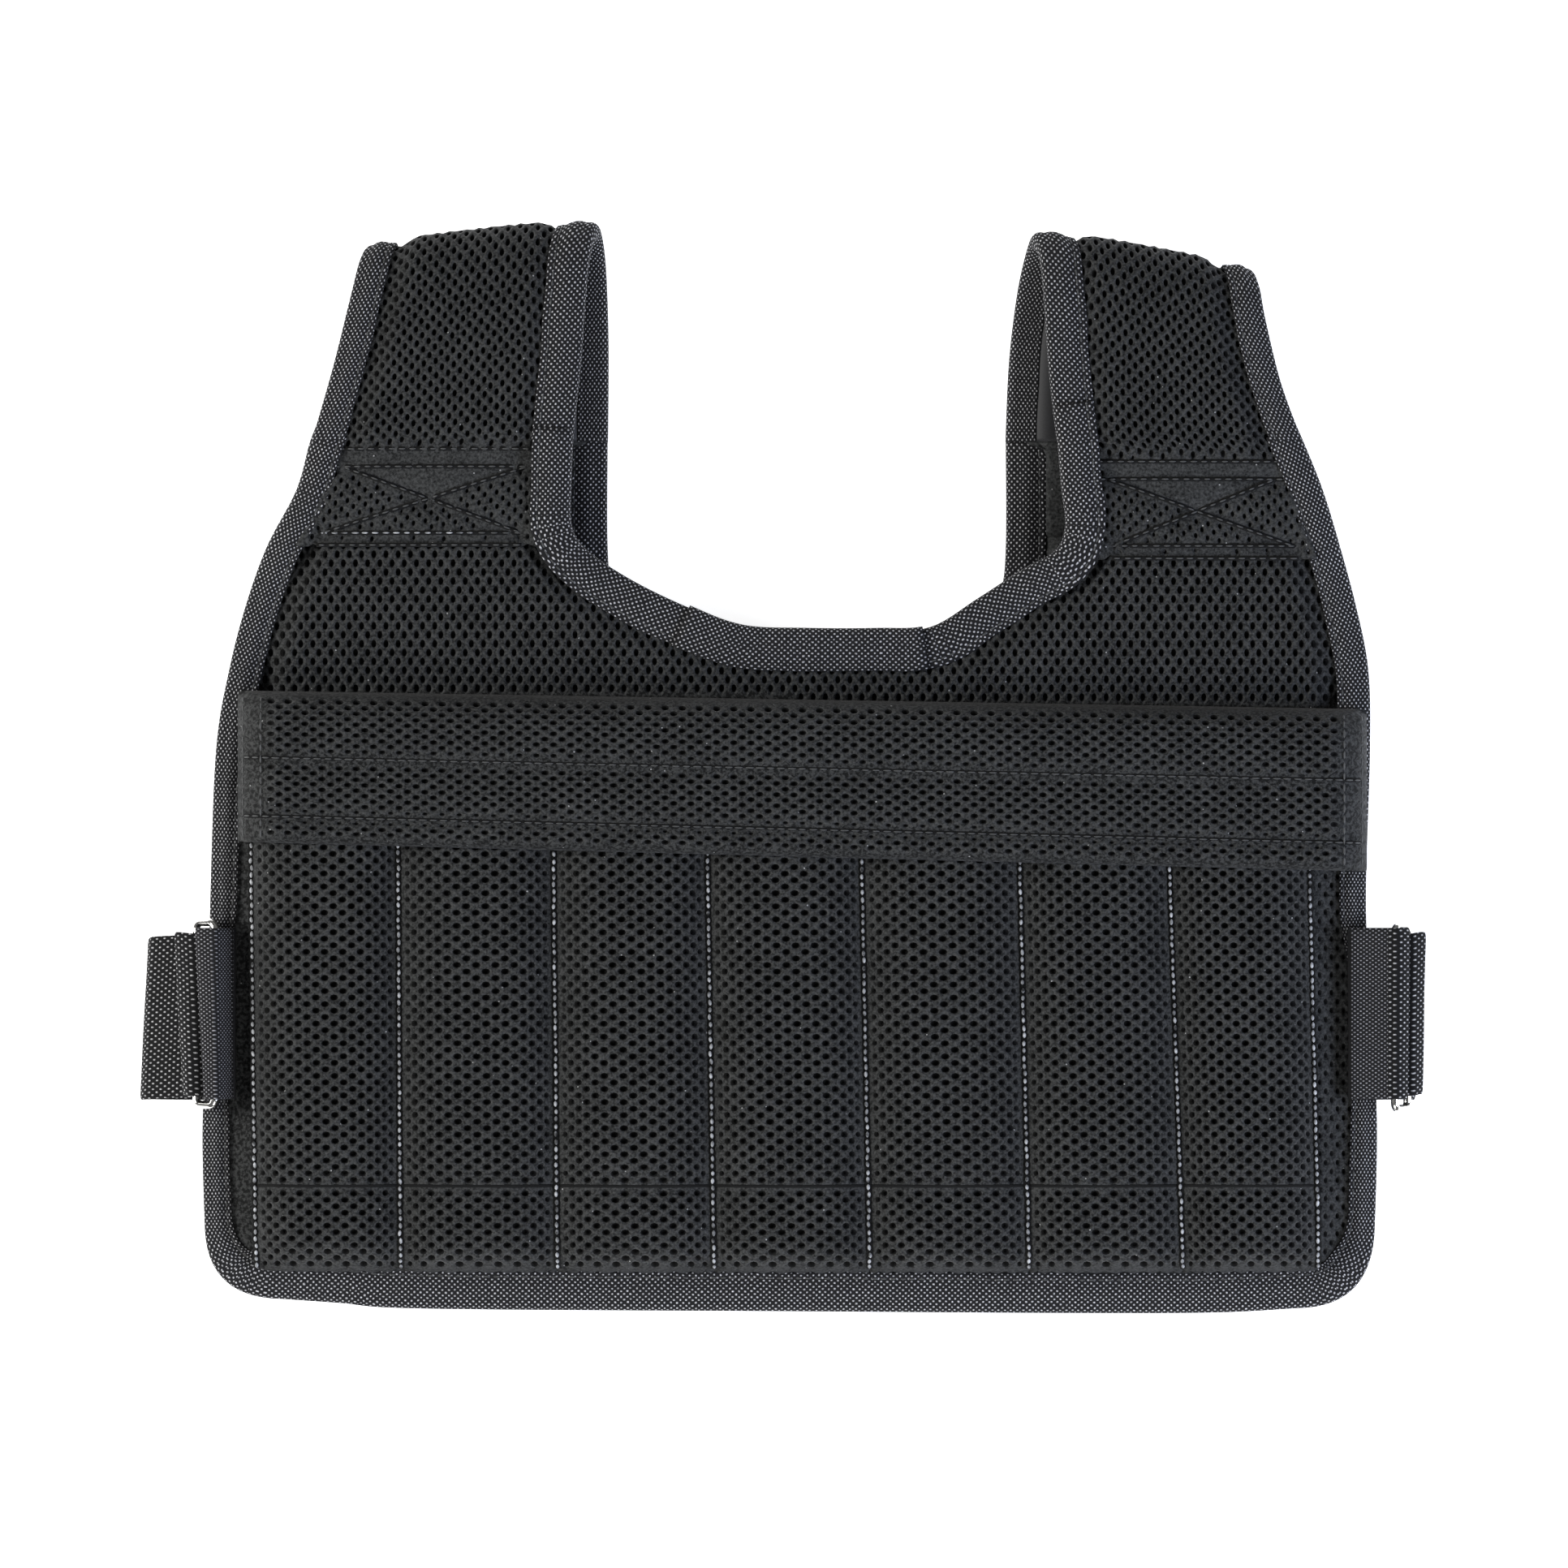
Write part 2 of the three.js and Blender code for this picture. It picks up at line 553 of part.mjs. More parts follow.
// The flap hangs from its top seam and comes down to the panel at each end.
function flap() {
  const { left, right } = FLAP_ENDS;
  const across = (u) => mix(left.across, right.across, u) * HALF_WIDTH;
  const up = (u, v) => mix(mix(left.bottom, right.bottom, u), mix(left.top, right.top, u), v) * VEST_LENGTH;
  const width = (right.across - left.across) * HALF_WIDTH;
  const rounded = (share) => (1 - (1 - clamp(share, 0, 1)) ** POCKET_FULLNESS) ** (1 / POCKET_FULLNESS);
  const underside = (u, v) => {
    const fromTop = mix(left.top - left.bottom, right.top - right.bottom, u) * VEST_LENGTH * (1 - v);
    const fromEnd = Math.min(u, 1 - u) * width;
    const full = POCKET_HEIGHT * 0.96 + SEAM_GAP;
    return full * rounded(fromTop / FLAP_DROP) * rounded(fromEnd / FLAP_ROLL);
  };
  const puff = (v) => {
    const next = Math.max(1, FLAP_CHANNELS.findIndex((line) => line >= v));
    const share = (v - FLAP_CHANNELS[next - 1]) / (FLAP_CHANNELS[next] - FLAP_CHANNELS[next - 1]);
    return FLAP_PUFF * Math.sin(Math.PI * share);
  };
  const point = (height) => (u, v) => {
    const [x, y] = [across(u), up(u, v)];
    return new THREE.Vector3(x, y, frontLevel(x, y) + PANEL_THICKNESS + SEAM_GAP + underside(u, v) + height(v));
  };
  const rows = [0, 0.08, 0.17, 0.3, 0.43, 0.56, 0.68, 0.79, 0.88, 0.95, 1];
  return gridBody(FLAP_ACROSS, rows, point(() => 0), point((v) => FLAP_THICKNESS + puff(v)));
}

// Places along a strap: smooth lines through its table's inner and outer edges.
function strapPlaces(table) {
  const edge = (across, up) => table.map((row) => {
    const x = row[across] * HALF_WIDTH;
    const y = row[up] * VEST_LENGTH;
    const z = mix(backLevel() + STRAP_SEAT, frontLevel(x, y) + STRAP_SEAT, row.rise);
    return new THREE.Vector3(x, y, z);
  });
  const inner = edge('inner', 'innerUp');
  const outer = edge('outer', 'outerUp');
  const free = table.map((row, i) => i).filter((i) => !table[i].end);
  const [first, last] = [free[0], free[free.length - 1]];
  const pieces = (last - first) * STRAP_STEPS;
  const smooth = (points) => new THREE.CatmullRomCurve3(points.slice(first, last + 1)).getPoints(pieces);
  return { inner, outer, first, last, smoothInner: smooth(inner), smoothOuter: smooth(outer) };
}

// A section across a strap, in its own plane. Along is the way the strap runs.
function strapSection(inner, outer, along, outline) {
  const across = outer.clone().sub(inner);
  const width = across.length() - 2 * EDGE_LEVEL;
  across.normalize();
  const up = across.clone().cross(along).normalize();
  return outline(width).map(({ x, y }) =>
    inner.clone().addScaledVector(across, x + EDGE_LEVEL).addScaledVector(up, y));
}

// Sections at all places of a strap's free run.
function strapRun(places, outline, sign) {
  const { smoothInner, smoothOuter } = places;
  return smoothInner.map((inner, i) => {
    const before = Math.max(i - 1, 0);
    const after = Math.min(i + 1, smoothInner.length - 1);
    const along = smoothInner[after].clone().add(smoothOuter[after])
      .sub(smoothInner[before]).sub(smoothOuter[before]).normalize().multiplyScalar(sign);
    return strapSection(inner, smoothOuter[i], along, outline);
  });
}

const flatOutline = (points) => points.map(({ x, y }) => new THREE.Vector2(x, y));

// A strap's padded section between its bindings, pressed thin at both edges.
function padSection(width) {
  const half = STRAP_EDGE / 2;
  const edge = STRAP_EASE;
  const top = PAD_START + PAD_SLOPE;
  return flatOutline([
    { x: edge, y: -half }, { x: width - edge, y: -half }, { x: width - edge, y: half },
    { x: width - PAD_START, y: half }, { x: width - top, y: STRAP_PAD },
    { x: width / 2, y: STRAP_PAD + STRAP_CROWN },
    { x: top, y: STRAP_PAD }, { x: PAD_START, y: half }, { x: edge, y: half },
  ]);
}

// The strap's end, stitched flat between the bindings of a panel.
function flatSection(width) {
  const half = STRAP_EDGE / 2;
  const crown = (share) => ({ x: share * width, y: half + 0.25 * STRAP_CROWN * Math.sin(Math.PI * share) });
  return flatOutline([
    { x: 0, y: -half }, { x: width, y: -half }, { x: width, y: half },
    crown(0.85), crown(0.75), crown(0.5), crown(0.25), crown(0.15), { x: 0, y: half },
  ]);
}

function strap(table, sign) {
  const places = strapPlaces(table);
  const run = strapRun(places, padSection, sign);
  const end = (i, direction) => strapSection(
    places.inner[i], places.outer[i], new THREE.Vector3(0, sign * direction, 0), flatSection);
  const rows = table.map((_, i) => i);
  const start = rows.filter((i) => i < places.first).map((i) => end(i, 1));
  const finish = rows.filter((i) => i > places.last).map((i) => end(i, -1));
  return loft([...start, ...run, ...finish], flatSection(places.inner[0].distanceTo(places.outer[0])));
}

// Tape folded over one edge of a strap, along its free run.
function strapBinding(table, sign, atOuter) {
  const places = strapPlaces(table);
  const section = bindingSection();
  const outline = (width) => section.map(({ x, y }) =>
    new THREE.Vector2(atOuter ? width - x : x, y - BINDING_HEIGHT / 2));
  return loft(strapRun(places, outline, sign), outline(4 * BINDING_REACH));
}

// Smooth cloth on the body side of a strap, between its bindings.
function strapLining(table, sign) {
  const places = strapPlaces(table);
  const top = -EDGE_THICKNESS / 2 - SEAM_GAP;
  const start = BINDING_REACH + 2 * SEAM_GAP;
  const outline = (width) => flatOutline([
    { x: start, y: top - LINING_THICKNESS }, { x: width - start, y: top - LINING_THICKNESS },
    { x: width - start, y: top }, { x: start, y: top },
  ]);
  return loft(strapRun(places, outline, sign), outline(4 * BINDING_REACH));
}

// A band of webbing along rows of points: out and z are its middle line beside a
// panel's edge, shift moves it along the edge, and lean turns it out at the hem's end.
function webbingBand(rows, side, width) {
  const edge = edgeAcross(side);
  const half = WEBBING_THICKNESS / 2;
  const ends = [-1, 1].map((end) => {
    const points = rows.map(({ out, z, shift = 0, lean = 0 }) => new THREE.Vector3(out - end * lean, z, shift));
    const line = new THREE.CatmullRomCurve3(points).getPoints(points.length * 2);
    const flat = line.map((point) => new THREE.Vector2(point.x, point.y));
    const round = [...line, ...[...line].reverse()];
    const outline = [...offsetOutline(flat, half, false), ...offsetOutline(flat, -half, false).reverse()];
    const section = outline.map((point, i) =>
      new THREE.Vector3(side.sign * (edge + point.x), TAB_CENTRE + round[i].z + end * width / 2, point.y));
    return { outline, section };
  });
  return loft(ends.map(({ section }) => section), ends[0].outline);
}

// Distance from the middle of the vest to the front binding's fold at the webbing.
function edgeAcross(side) {
  const key = side.sign < 0 ? 'left' : 'right';
  const at = TAB_CENTRE / VEST_LENGTH;
  const after = FRONT_SIDES.findIndex((row) => row.up >= at);
  const [a, b] = [FRONT_SIDES[after - 1], FRONT_SIDES[after]];
  return mix(a[key], b[key], (at - a.up) / (b.up - a.up)) * HALF_WIDTH;
}

// Height of the front binding's top, at a distance outward from its fold.
function bindingTop(side, out) {
  return frontLevel(edgeAcross(side) + out, TAB_CENTRE) + BINDING_HEIGHT;
}

// The ring's two bars: the upper one, nearer the panel, holds the tab.
function ringBars(side) {
  const { out, rise, tilt } = side.ring;
  const angle = THREE.MathUtils.degToRad(tilt);
  const middle = new THREE.Vector2(out, bindingTop(side, 0) + rise);
  const half = new THREE.Vector2(Math.cos(angle), -Math.sin(angle))
    .multiplyScalar((RING_OPENING.width + WIRE_DIAMETER) / 2);
  return { upper: middle.clone().sub(half), lower: middle.clone().add(half) };
}

// A point on the middle line of webbing that goes round a bar.
function roundBar(bar, degrees) {
  const wrap = WIRE_DIAMETER / 2 + 2 * SEAM_GAP + WEBBING_THICKNESS / 2;
  const angle = THREE.MathUtils.degToRad(degrees);
  return { out: bar.x + wrap * Math.cos(angle), z: bar.y + wrap * Math.sin(angle) };
}

// The tab laps over the front panel's edge, both its legs one on the other, and
// goes round the ring's upper bar.
function ringTab(side) {
  const bar = ringBars(side).upper;
  const lower = 2 * SEAM_GAP + WEBBING_THICKNESS / 2;
  const upper = lower + WEBBING_THICKNESS + 2 * SEAM_GAP;
  const sewn = (out, height) => ({ out, z: bindingTop(side, out) + height });
  const turn = -side.ring.tilt;
  return webbingBand([
    sewn(-side.bite, upper),
    sewn(-side.bite + 1.5, upper + 0.1),
    roundBar(bar, 110),
    roundBar(bar, 75),
    roundBar(bar, turn + 55),
    roundBar(bar, turn),
    roundBar(bar, turn - 50),
    roundBar(bar, 250),
    sewn(-side.bite + 1.5, lower),
    sewn(-side.bite, lower),
  ], side, TAB_WIDTH);
}

// The side strap starts on the back panel's edge, turns back in a loose loop, goes
// round the ring's lower bar, and ends folded down beside it.
function sideStrap(side) {
  const bar = ringBars(side).lower;
  const turn = 180 - side.ring.tilt;
  const start = BINDING_HEIGHT + 2 * SEAM_GAP + WEBBING_THICKNESS / 2;
  const bend = side.bend - WEBBING_THICKNESS / 2;
  const fold = side.fold - WEBBING_THICKNESS / 2;
  const { lean } = side;
  return webbingBand([
    { out: -side.bite, z: start, shift: -2 },
    { out: -3, z: start, shift: -2 },
    { out: bend * 0.45, z: 4.2, shift: -2, lean },
    { out: bend - 3.6, z: 1.5, shift: -2, lean },
    { out: bend - 0.8, z: 3.4, shift: -2, lean },
    { out: bend, z: 7, shift: -2, lean },
    { out: bend - 0.9, z: 10.6, shift: -1.7, lean: lean * 0.8 },
    { out: mix(bend, bar.x, 0.2), z: 13, shift: -1.4, lean: lean * 0.5 },
    { ...roundBar(bar, side.entry), shift: -0.7 },
    { ...roundBar(bar, turn + 30), shift: -0.6 },
    { ...roundBar(bar, turn), shift: -0.5 },
    { ...roundBar(bar, turn - 50), shift: -0.4 },
    { ...roundBar(bar, 70), shift: -0.3 },
    { out: fold - 0.9, z: bar.y + 1.2, lean: -lean * 0.8 },
    { out: fold - 0.1, z: bar.y - 0.3, lean: -lean },
    { out: fold - 0.1, z: bar.y - 1.8, lean: -lean },
  ], side, STRAP_WIDTH);
}

// A welded rectangular ring of round wire, between the tab and the side strap.
function wireRing(side) {
  const edge = edgeAcross(side);
  const place = (bar) => new THREE.Vector3(side.sign * (edge + bar.x), TAB_CENTRE, bar.y);
  const { upper, lower } = ringBars(side);
  const [top, foot] = [place(upper), place(lower)];
  const middle = top.clone().add(foot).multiplyScalar(0.5);
  const across = top.clone().sub(foot).normalize();
  const along = new THREE.Vector3(0, 1, 0);
  const normal = across.clone().cross(along);
  const halfLength = (RING_OPENING.length + WIRE_DIAMETER) / 2 - RING_CORNER;
  const halfWidth = top.distanceTo(foot) / 2 - RING_CORNER;
  const radius = WIRE_DIAMETER / 2;
  const round = steps(8).slice(1).map((share) =>
    new THREE.Vector2(Math.cos(share * 2 * Math.PI), Math.sin(share * 2 * Math.PI)));
  const corners = [[1, 1], [-1, 1], [-1, -1], [1, -1]];
  const sections = corners.flatMap(([a, b], quarter) => steps(2).map((share) => {
    const angle = (quarter + share) * (Math.PI / 2);
    const out = along.clone().multiplyScalar(Math.cos(angle)).addScaledVector(across, Math.sin(angle));
    const centre = middle.clone()
      .addScaledVector(along, a * halfLength)
      .addScaledVector(across, b * halfWidth)
      .addScaledVector(out, RING_CORNER);
    return round.map(({ x, y }) =>
      centre.clone().addScaledVector(out, radius * x).addScaledVector(normal, radius * y));
  }));
  return loft(sections, round, true);
}

// The vest, built up from the floor.
const vest = new THREE.Group();
function add(name, geometry, material) {
  const mesh = new THREE.Mesh(geometry, material);
  mesh.name = name;
  vest.add(mesh);
}

const strapSeatFoot = 0.72 * VEST_LENGTH; // padding stops here, under the strap ends
for (const [name, lines, level] of [
  ['back', panelLines(BACK_SIDES, BACK_NECK, BACK_INSET), backLevel],
  ['front', panelLines(FRONT_SIDES, FRONT_NECK, 0), frontLevel],
]) {
  add(`${name}_panel`, panel(lines, level, strapSeatFoot), AIR_MESH);
  add(`${name}_edge_binding`, panelBinding(lines.edge, level), BINDING_TAPE);
  add(`${name}_neck_binding`, panelBinding(lines.neck, level), BINDING_TAPE);
}

for (let index = 0; index < POCKET_COUNT; index++) {
  add(`pocket_${index + 1}`, pocket(index), AIR_MESH);
}
add('pocket_flap', flap(), AIR_MESH);

for (const [key, table] of [['left', LEFT_STRAP], ['right', RIGHT_STRAP]]) {
  const side = SIDES[key];
  add(`shoulder_strap_${key}`, strap(table, side.sign), AIR_MESH);
  add(`strap_lining_${key}`, strapLining(table, side.sign), LINING);
  add(`strap_binding_inner_${key}`, strapBinding(table, side.sign, false), BINDING_TAPE);
  add(`strap_binding_outer_${key}`, strapBinding(table, side.sign, true), BINDING_TAPE);
  add(`ring_tab_${key}`, ringTab(side), WEBBING);
  add(`wire_ring_${key}`, wireRing(side), WIRE);
  add(`side_strap_${key}`, sideStrap(side), WEBBING);
}

// The origin is on the floor, under the middle of the vest.
const box = new THREE.Box3().setFromObject(vest);
vest.position.set(-(box.min.x + box.max.x) / 2, -(box.min.y + box.max.y) / 2, -box.min.z);

export default vest;
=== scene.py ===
"""The looks of a padded weighted vest that lies flat on its back panel.

Lengths are in millimetres unless a name ends in _m. X runs across the vest, Y from
the hem to the shoulders and Z up from the floor. Each class builds one sub-assembly.
"""

from __future__ import annotations

import logging
import math
from dataclasses import dataclass, field
from enum import Enum
from functools import partial
from typing import Any, Callable, Sequence

import bpy
import numpy as np
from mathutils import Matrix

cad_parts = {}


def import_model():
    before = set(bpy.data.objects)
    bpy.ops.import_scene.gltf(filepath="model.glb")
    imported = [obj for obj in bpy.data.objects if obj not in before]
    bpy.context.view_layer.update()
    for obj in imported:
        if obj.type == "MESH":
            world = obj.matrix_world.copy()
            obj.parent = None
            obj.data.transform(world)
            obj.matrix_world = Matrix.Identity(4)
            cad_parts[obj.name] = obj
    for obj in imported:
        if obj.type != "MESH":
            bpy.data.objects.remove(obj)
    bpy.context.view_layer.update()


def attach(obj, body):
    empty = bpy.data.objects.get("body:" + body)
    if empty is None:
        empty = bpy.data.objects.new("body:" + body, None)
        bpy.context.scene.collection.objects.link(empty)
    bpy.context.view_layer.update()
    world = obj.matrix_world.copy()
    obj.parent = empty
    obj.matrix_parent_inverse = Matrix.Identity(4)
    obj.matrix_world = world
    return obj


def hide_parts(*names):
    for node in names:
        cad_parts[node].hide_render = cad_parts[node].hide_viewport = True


LOG = logging.getLogger("vest")
Array = np.ndarray
# from places across and along the cloth to points, and from flat places to a value for each
Surface = Callable[[Array, Array], Array]
FlatRule = Callable[[Array], Array]

MM = 0.001
VEST_LENGTH = 335.0
HALF_WIDTH = 180.5
PANEL_THICKNESS = 8.0
EDGE_THICKNESS = 3.0
TAPE_THICKNESS = 1.2
SEAM_GAP = 0.3
# a panel's pressed edge from its underside to its top, inside the folded tape
EDGE_LEVEL = TAPE_THICKNESS + SEAM_GAP
EDGE_TOP = EDGE_LEVEL + EDGE_THICKNESS
BINDING_HEIGHT = EDGE_TOP + EDGE_LEVEL
BINDING_REACH = 11.0
# how far in from the tape's fold the cloth begins, then the padding, and how wide its slope is
CLOTH_INSET = 3.6
PAD_START = 12.0
PAD_SLOPE = 5.0
CORNER_RADIUS = 24.0
POCKET_HEIGHT = 11.5
# how far up the webbing and the rings sit at the sides
TAB_CENTRE = 91.0
STRAP_SEAT_FOOT = 0.72 * VEST_LENGTH
SHOULDER = 0.7945 * VEST_LENGTH
# a spot that lies in a groove of every weave, so a cut end shows no yarn beads
CUT_END_WEAVE = (0.0, 0.55)
# from the middle of the hem, where lengths are counted from, to the middle of the whole vest
FRAME_SHIFT = np.array([2.1591, -166.6525, 0.0])


class Side(Enum):
    """The two sides of the vest as it is seen from the front."""

    LEFT = -1
    RIGHT = 1

    @property
    def word(self) -> str:
        """The side's name in piece names."""
        return self.name.lower()


def mix(a: Any, b: Any, share: Any) -> Any:
    """Goes from a to b as share goes from 0 to 1."""
    return a + (b - a) * share


def smooth(low: float, high: float, value: Any) -> Any:
    """Goes smoothly from 0 at low to 1 at high."""
    share = np.clip((value - low) / (high - low), 0.0, 1.0)
    return share * share * (3.0 - 2.0 * share)


def unit(vectors: Array) -> Array:
    """Scales vectors to length 1."""
    return vectors / np.maximum(np.linalg.norm(vectors, axis=-1, keepdims=True), 1e-9)


def front_level(x: Array, y: Array) -> Array:
    """Height of the front panel's underside, which arches over the back panel.

    Args:
        x: Places across the vest.
        y: Places up from the hem.

    Returns:
        Heights over the floor.
    """
    # heights over the back panel at the hem and where the arch is full
    middle = mix(11.0, 14.5, np.sin(np.pi / 2 * np.minimum(y / 200.0, 1.0)))
    edge = mix(2.5, 7.5, np.sin(np.pi / 2 * np.minimum(y / 60.0, 1.0)))
    return PANEL_THICKNESS + mix(middle, edge, (x / HALF_WIDTH) ** 2)


def back_level(x: Array, y: Array) -> Array:
    """Height of the back panel's underside, which is the floor."""
    return np.zeros(np.broadcast(x, y).shape)


def spline(points: Sequence[Sequence[float]], count: int, even: bool = True) -> Array:
    """A smooth line through points.

    Args:
        points: What the line goes through.
        count: How many points the line gets.
        even: Whether they stand evenly spaced along it.

    Returns:
        The line's points, one a row.
    """
    p = np.asarray(points, float)
    last = len(p) - 1
    share = np.linspace(0, last, max(24 * last, count))
    i = np.minimum(share.astype(int), last - 1)
    t = (share - i)[:, None]
    before, here = p[np.maximum(i - 1, 0)], p[i]
    after, beyond = p[i + 1], p[np.minimum(i + 2, last)]
    out, into = (after - before) / 2, (beyond - here) / 2
    line = (
        (2 * here - 2 * after + out + into) * t**3
        + (3 * after - 3 * here - 2 * out - into) * t**2
        + out * t
        + here
    )
    return even_line(line, count) if even else resample(line, share, np.linspace(0, last, count))


def resample(line: Array, places: Array, wanted: Array) -> Array:
    """Points of a line at wanted places, where places gives each point's own."""
    return np.stack([np.interp(wanted, places, column) for column in line.T], axis=1)


def lengths(line: Array) -> Array:
    """How far along a line each of its points is."""
    return np.concatenate([[0.0], np.cumsum(np.linalg.norm(np.diff(line, axis=0), axis=1))])


def even_line(line: Array, count: int) -> Array:
    """The same line with count evenly spaced points."""
    run = lengths(line)
    return resample(line, run, np.linspace(0, run[-1], count))


def sideways(line: Array) -> Array:
    """The unit vector to the left of a flat line at each of its points."""
    along = unit(np.gradient(line, axis=0))
    return np.stack([-along[:, 1], along[:, 0]], axis=1)


def distance_to(points: Array, line: Array) -> Array:
    """How far each point lies from a flat line.

    Args:
        points: Flat points, one a row.
        line: The line's points.

    Returns:
        One distance for each point.
    """
    best = np.full(len(points), np.inf)
    for start, end in zip(line[:-1], line[1:]):
        side = end - start
        share = np.clip((points - start) @ side / max(side @ side, 1e-9), 0, 1)
        best = np.minimum(best, np.linalg.norm(points - start - share[:, None] * side, axis=1))
    return best


def is_inside(points: Array, outline: Array) -> Array:
    """Which flat points lie inside a closed outline."""
    x, y = points.T
    found = np.zeros(len(points), bool)
    for (x0, y0), (x1, y1) in zip(outline, np.roll(outline, -1, axis=0)):
        if y0 != y1:
            found ^= ((y0 > y) != (y1 > y)) & (x < (x1 - x0) * (y - y0) / (y1 - y0) + x0)
    return found


def ripple(x: Array, y: Array, size: float, seed: int) -> Array:
    """Gentle unevenness of cloth, from -1 to 1.

    Args:
        x: Places across.
        y: Places along.
        size: Distance between its waves.
        seed: Which of many such patterns.

    Returns:
        One value for each place.
    """
    waves = 5
    dice = np.random.default_rng(seed)
    total = np.zeros(np.broadcast(x, y).shape)
    for _ in range(waves):
        angle, phase, stretch = dice.uniform(0, 2 * np.pi, 2).tolist() + [dice.uniform(0.7, 1.5)]
        wave = 2 * np.pi / (size * stretch)
        total = total + np.sin(wave * (x * np.cos(angle) + y * np.sin(angle)) + phase)
    return total / waves


@dataclass
class Draft:
    """A mesh in the making: points, faces and what each face is covered with."""

    points: list[Array] = field(default_factory=list)
    faces: list[Array] = field(default_factory=list)
    covers: list[Array] = field(default_factory=list)
    weave: list[Array] = field(default_factory=list)
    count: int = 0

    def add_points(self, points: Array) -> int:
        """Adds points and returns the number of the first."""
        first = self.count
        self.points.append(points.reshape(-1, 3))
        self.count += len(self.points[-1])
        return first

    def add_faces(self, faces: Array, cover: int = 0, weave: Array | None = None) -> None:
        """Adds faces that all have as many corners.

        Args:
            faces: Point numbers, one face a row.
            cover: The number of their material.
            weave: Places on the cloth, in millimetres, for each corner.
        """
        if len(faces):
            self.faces.append(faces)
            self.covers.append(np.full(len(faces), cover))
            if weave is None:
                weave = np.broadcast_to(CUT_END_WEAVE, faces.shape + (2,))
            self.weave.append(weave)

    def join(self, other: Draft, cover: int | None = None) -> None:
        """Takes in another draft, with a material number of its own if one is given."""
        shift = self.count
        for points in other.points:
            self.add_points(points)
        for faces, covers, weave in zip(other.faces, other.covers, other.weave):
            self.faces.append(faces + shift)
            self.covers.append(covers if cover is None else np.full(len(faces), cover))
            self.weave.append(weave)

    def face_outward(self) -> None:
        """Turns every face round if the faces of the closed draft point inwards."""
        points = np.concatenate(self.points)
        volume = 0.0
        for faces in self.faces:
            a = points[faces[:, 0]]
            for k in range(1, faces.shape[1] - 1):
                b, c = points[faces[:, k]], points[faces[:, k + 1]]
                volume += float(np.einsum("ij,ij->", a, np.cross(b, c)))
        if volume < 0:
            self.faces = [faces[:, ::-1] for faces in self.faces]
            self.weave = [weave[:, ::-1] for weave in self.weave]

    def to_object(self, name: str, materials: Sequence[bpy.types.Material]) -> bpy.types.Object:
        """Makes the object.

        Args:
            name: The object's name.
            materials: Its materials, in the order of the faces' numbers.

        Returns:
            The object, linked into the scene.
        """
        mesh = bpy.data.meshes.new(name)
        points = to_frame(np.concatenate(self.points))
        corners = np.concatenate([faces.ravel() for faces in self.faces])
        sizes = np.concatenate([np.full(len(faces), faces.shape[1]) for faces in self.faces])
        mesh.vertices.add(len(points))
        mesh.vertices.foreach_set("co", points.astype(np.float32).ravel())
        mesh.loops.add(len(corners))
        mesh.loops.foreach_set("vertex_index", corners.astype(np.int32))
        mesh.polygons.add(len(sizes))
        starts = np.concatenate([[0], np.cumsum(sizes)[:-1]])
        mesh.polygons.foreach_set("loop_start", starts.astype(np.int32))
        mesh.polygons.foreach_set("material_index", np.concatenate(self.covers).astype(np.int32))
        mesh.polygons.foreach_set("use_smooth", np.ones(len(sizes), bool))
        layer = mesh.uv_layers.new(name="weave")
        layer.data.foreach_set("uv", np.concatenate([w.ravel() for w in self.weave]).astype(np.float32))
        for material in materials:
            mesh.materials.append(material)
        mesh.update(calc_edges=True)
        mesh.validate()
        made = bpy.data.objects.new(name, mesh)
        bpy.context.scene.collection.objects.link(made)
        return made


def to_frame(points: Array) -> Array:
    """Points in metres, with the origin on the floor under the vest's middle."""
    return (points + FRAME_SHIFT) * MM


def swept(sections: Array, around: Array | None = None, closed: bool = False) -> Draft:
    """A body through sections that all have as many points.

    Args:
        sections: Points by section and by place in the section's outline.
        around: How far round the outline each point is, for the weave.
        closed: Whether the last section joins the first.

    Returns:
        The draft of the body, with flat ends if it is open.
    """
    rows, width = sections.shape[:2]
    draft = Draft()
    draft.add_points(sections)
    run = lengths(sections.mean(axis=1))
    if around is None:
        around = lengths(sections[rows // 2])
    around = np.append(around, around[-1] + np.linalg.norm(sections[0, 0] - sections[0, -1]))
    i = np.arange(rows if closed else rows - 1)
    i, j = (grid.ravel() for grid in np.meshgrid(i, np.arange(width), indexing="ij"))
    k, ahead = (i + 1) % rows, (j + 1) % width
    quads = np.stack([i * width + j, i * width + ahead, k * width + ahead, k * width + j], axis=1)
    step = run[1] - run[0]
    weave = np.stack(
        [
            np.stack([run[i], around[j]], axis=1),
            np.stack([run[i], around[j + 1]], axis=1),
            np.stack([run[i] + step, around[j + 1]], axis=1),
            np.stack([run[i] + step, around[j]], axis=1),
        ],
        axis=1,
    )
    draft.add_faces(quads, 0, weave)
    if not closed:
        first = np.arange(width)
        draft.add_faces(first[None, ::-1])
        draft.add_faces(first[None] + (rows - 1) * width)
    draft.face_outward()
    return draft


def crease(line: Array, width: float = 1.1, height: float = 0.3) -> Draft:
    """A thin dark strip: painted shade of the furrow that a line of stitches presses in the cloth.

    Args:
        line: Points on the surface.
        width: The furrow's width.
        height: How much of it stands over and under the line.

    Returns:
        A thin closed strip.
    """
    side = unit(np.cross(np.gradient(line, axis=0), [0.0, 0.0, 1.0])) * width / 2
    rise = np.array([0.0, 0.0, height / 2])
    return swept(np.stack([line - side, line + rise, line + side, line - rise], axis=1))


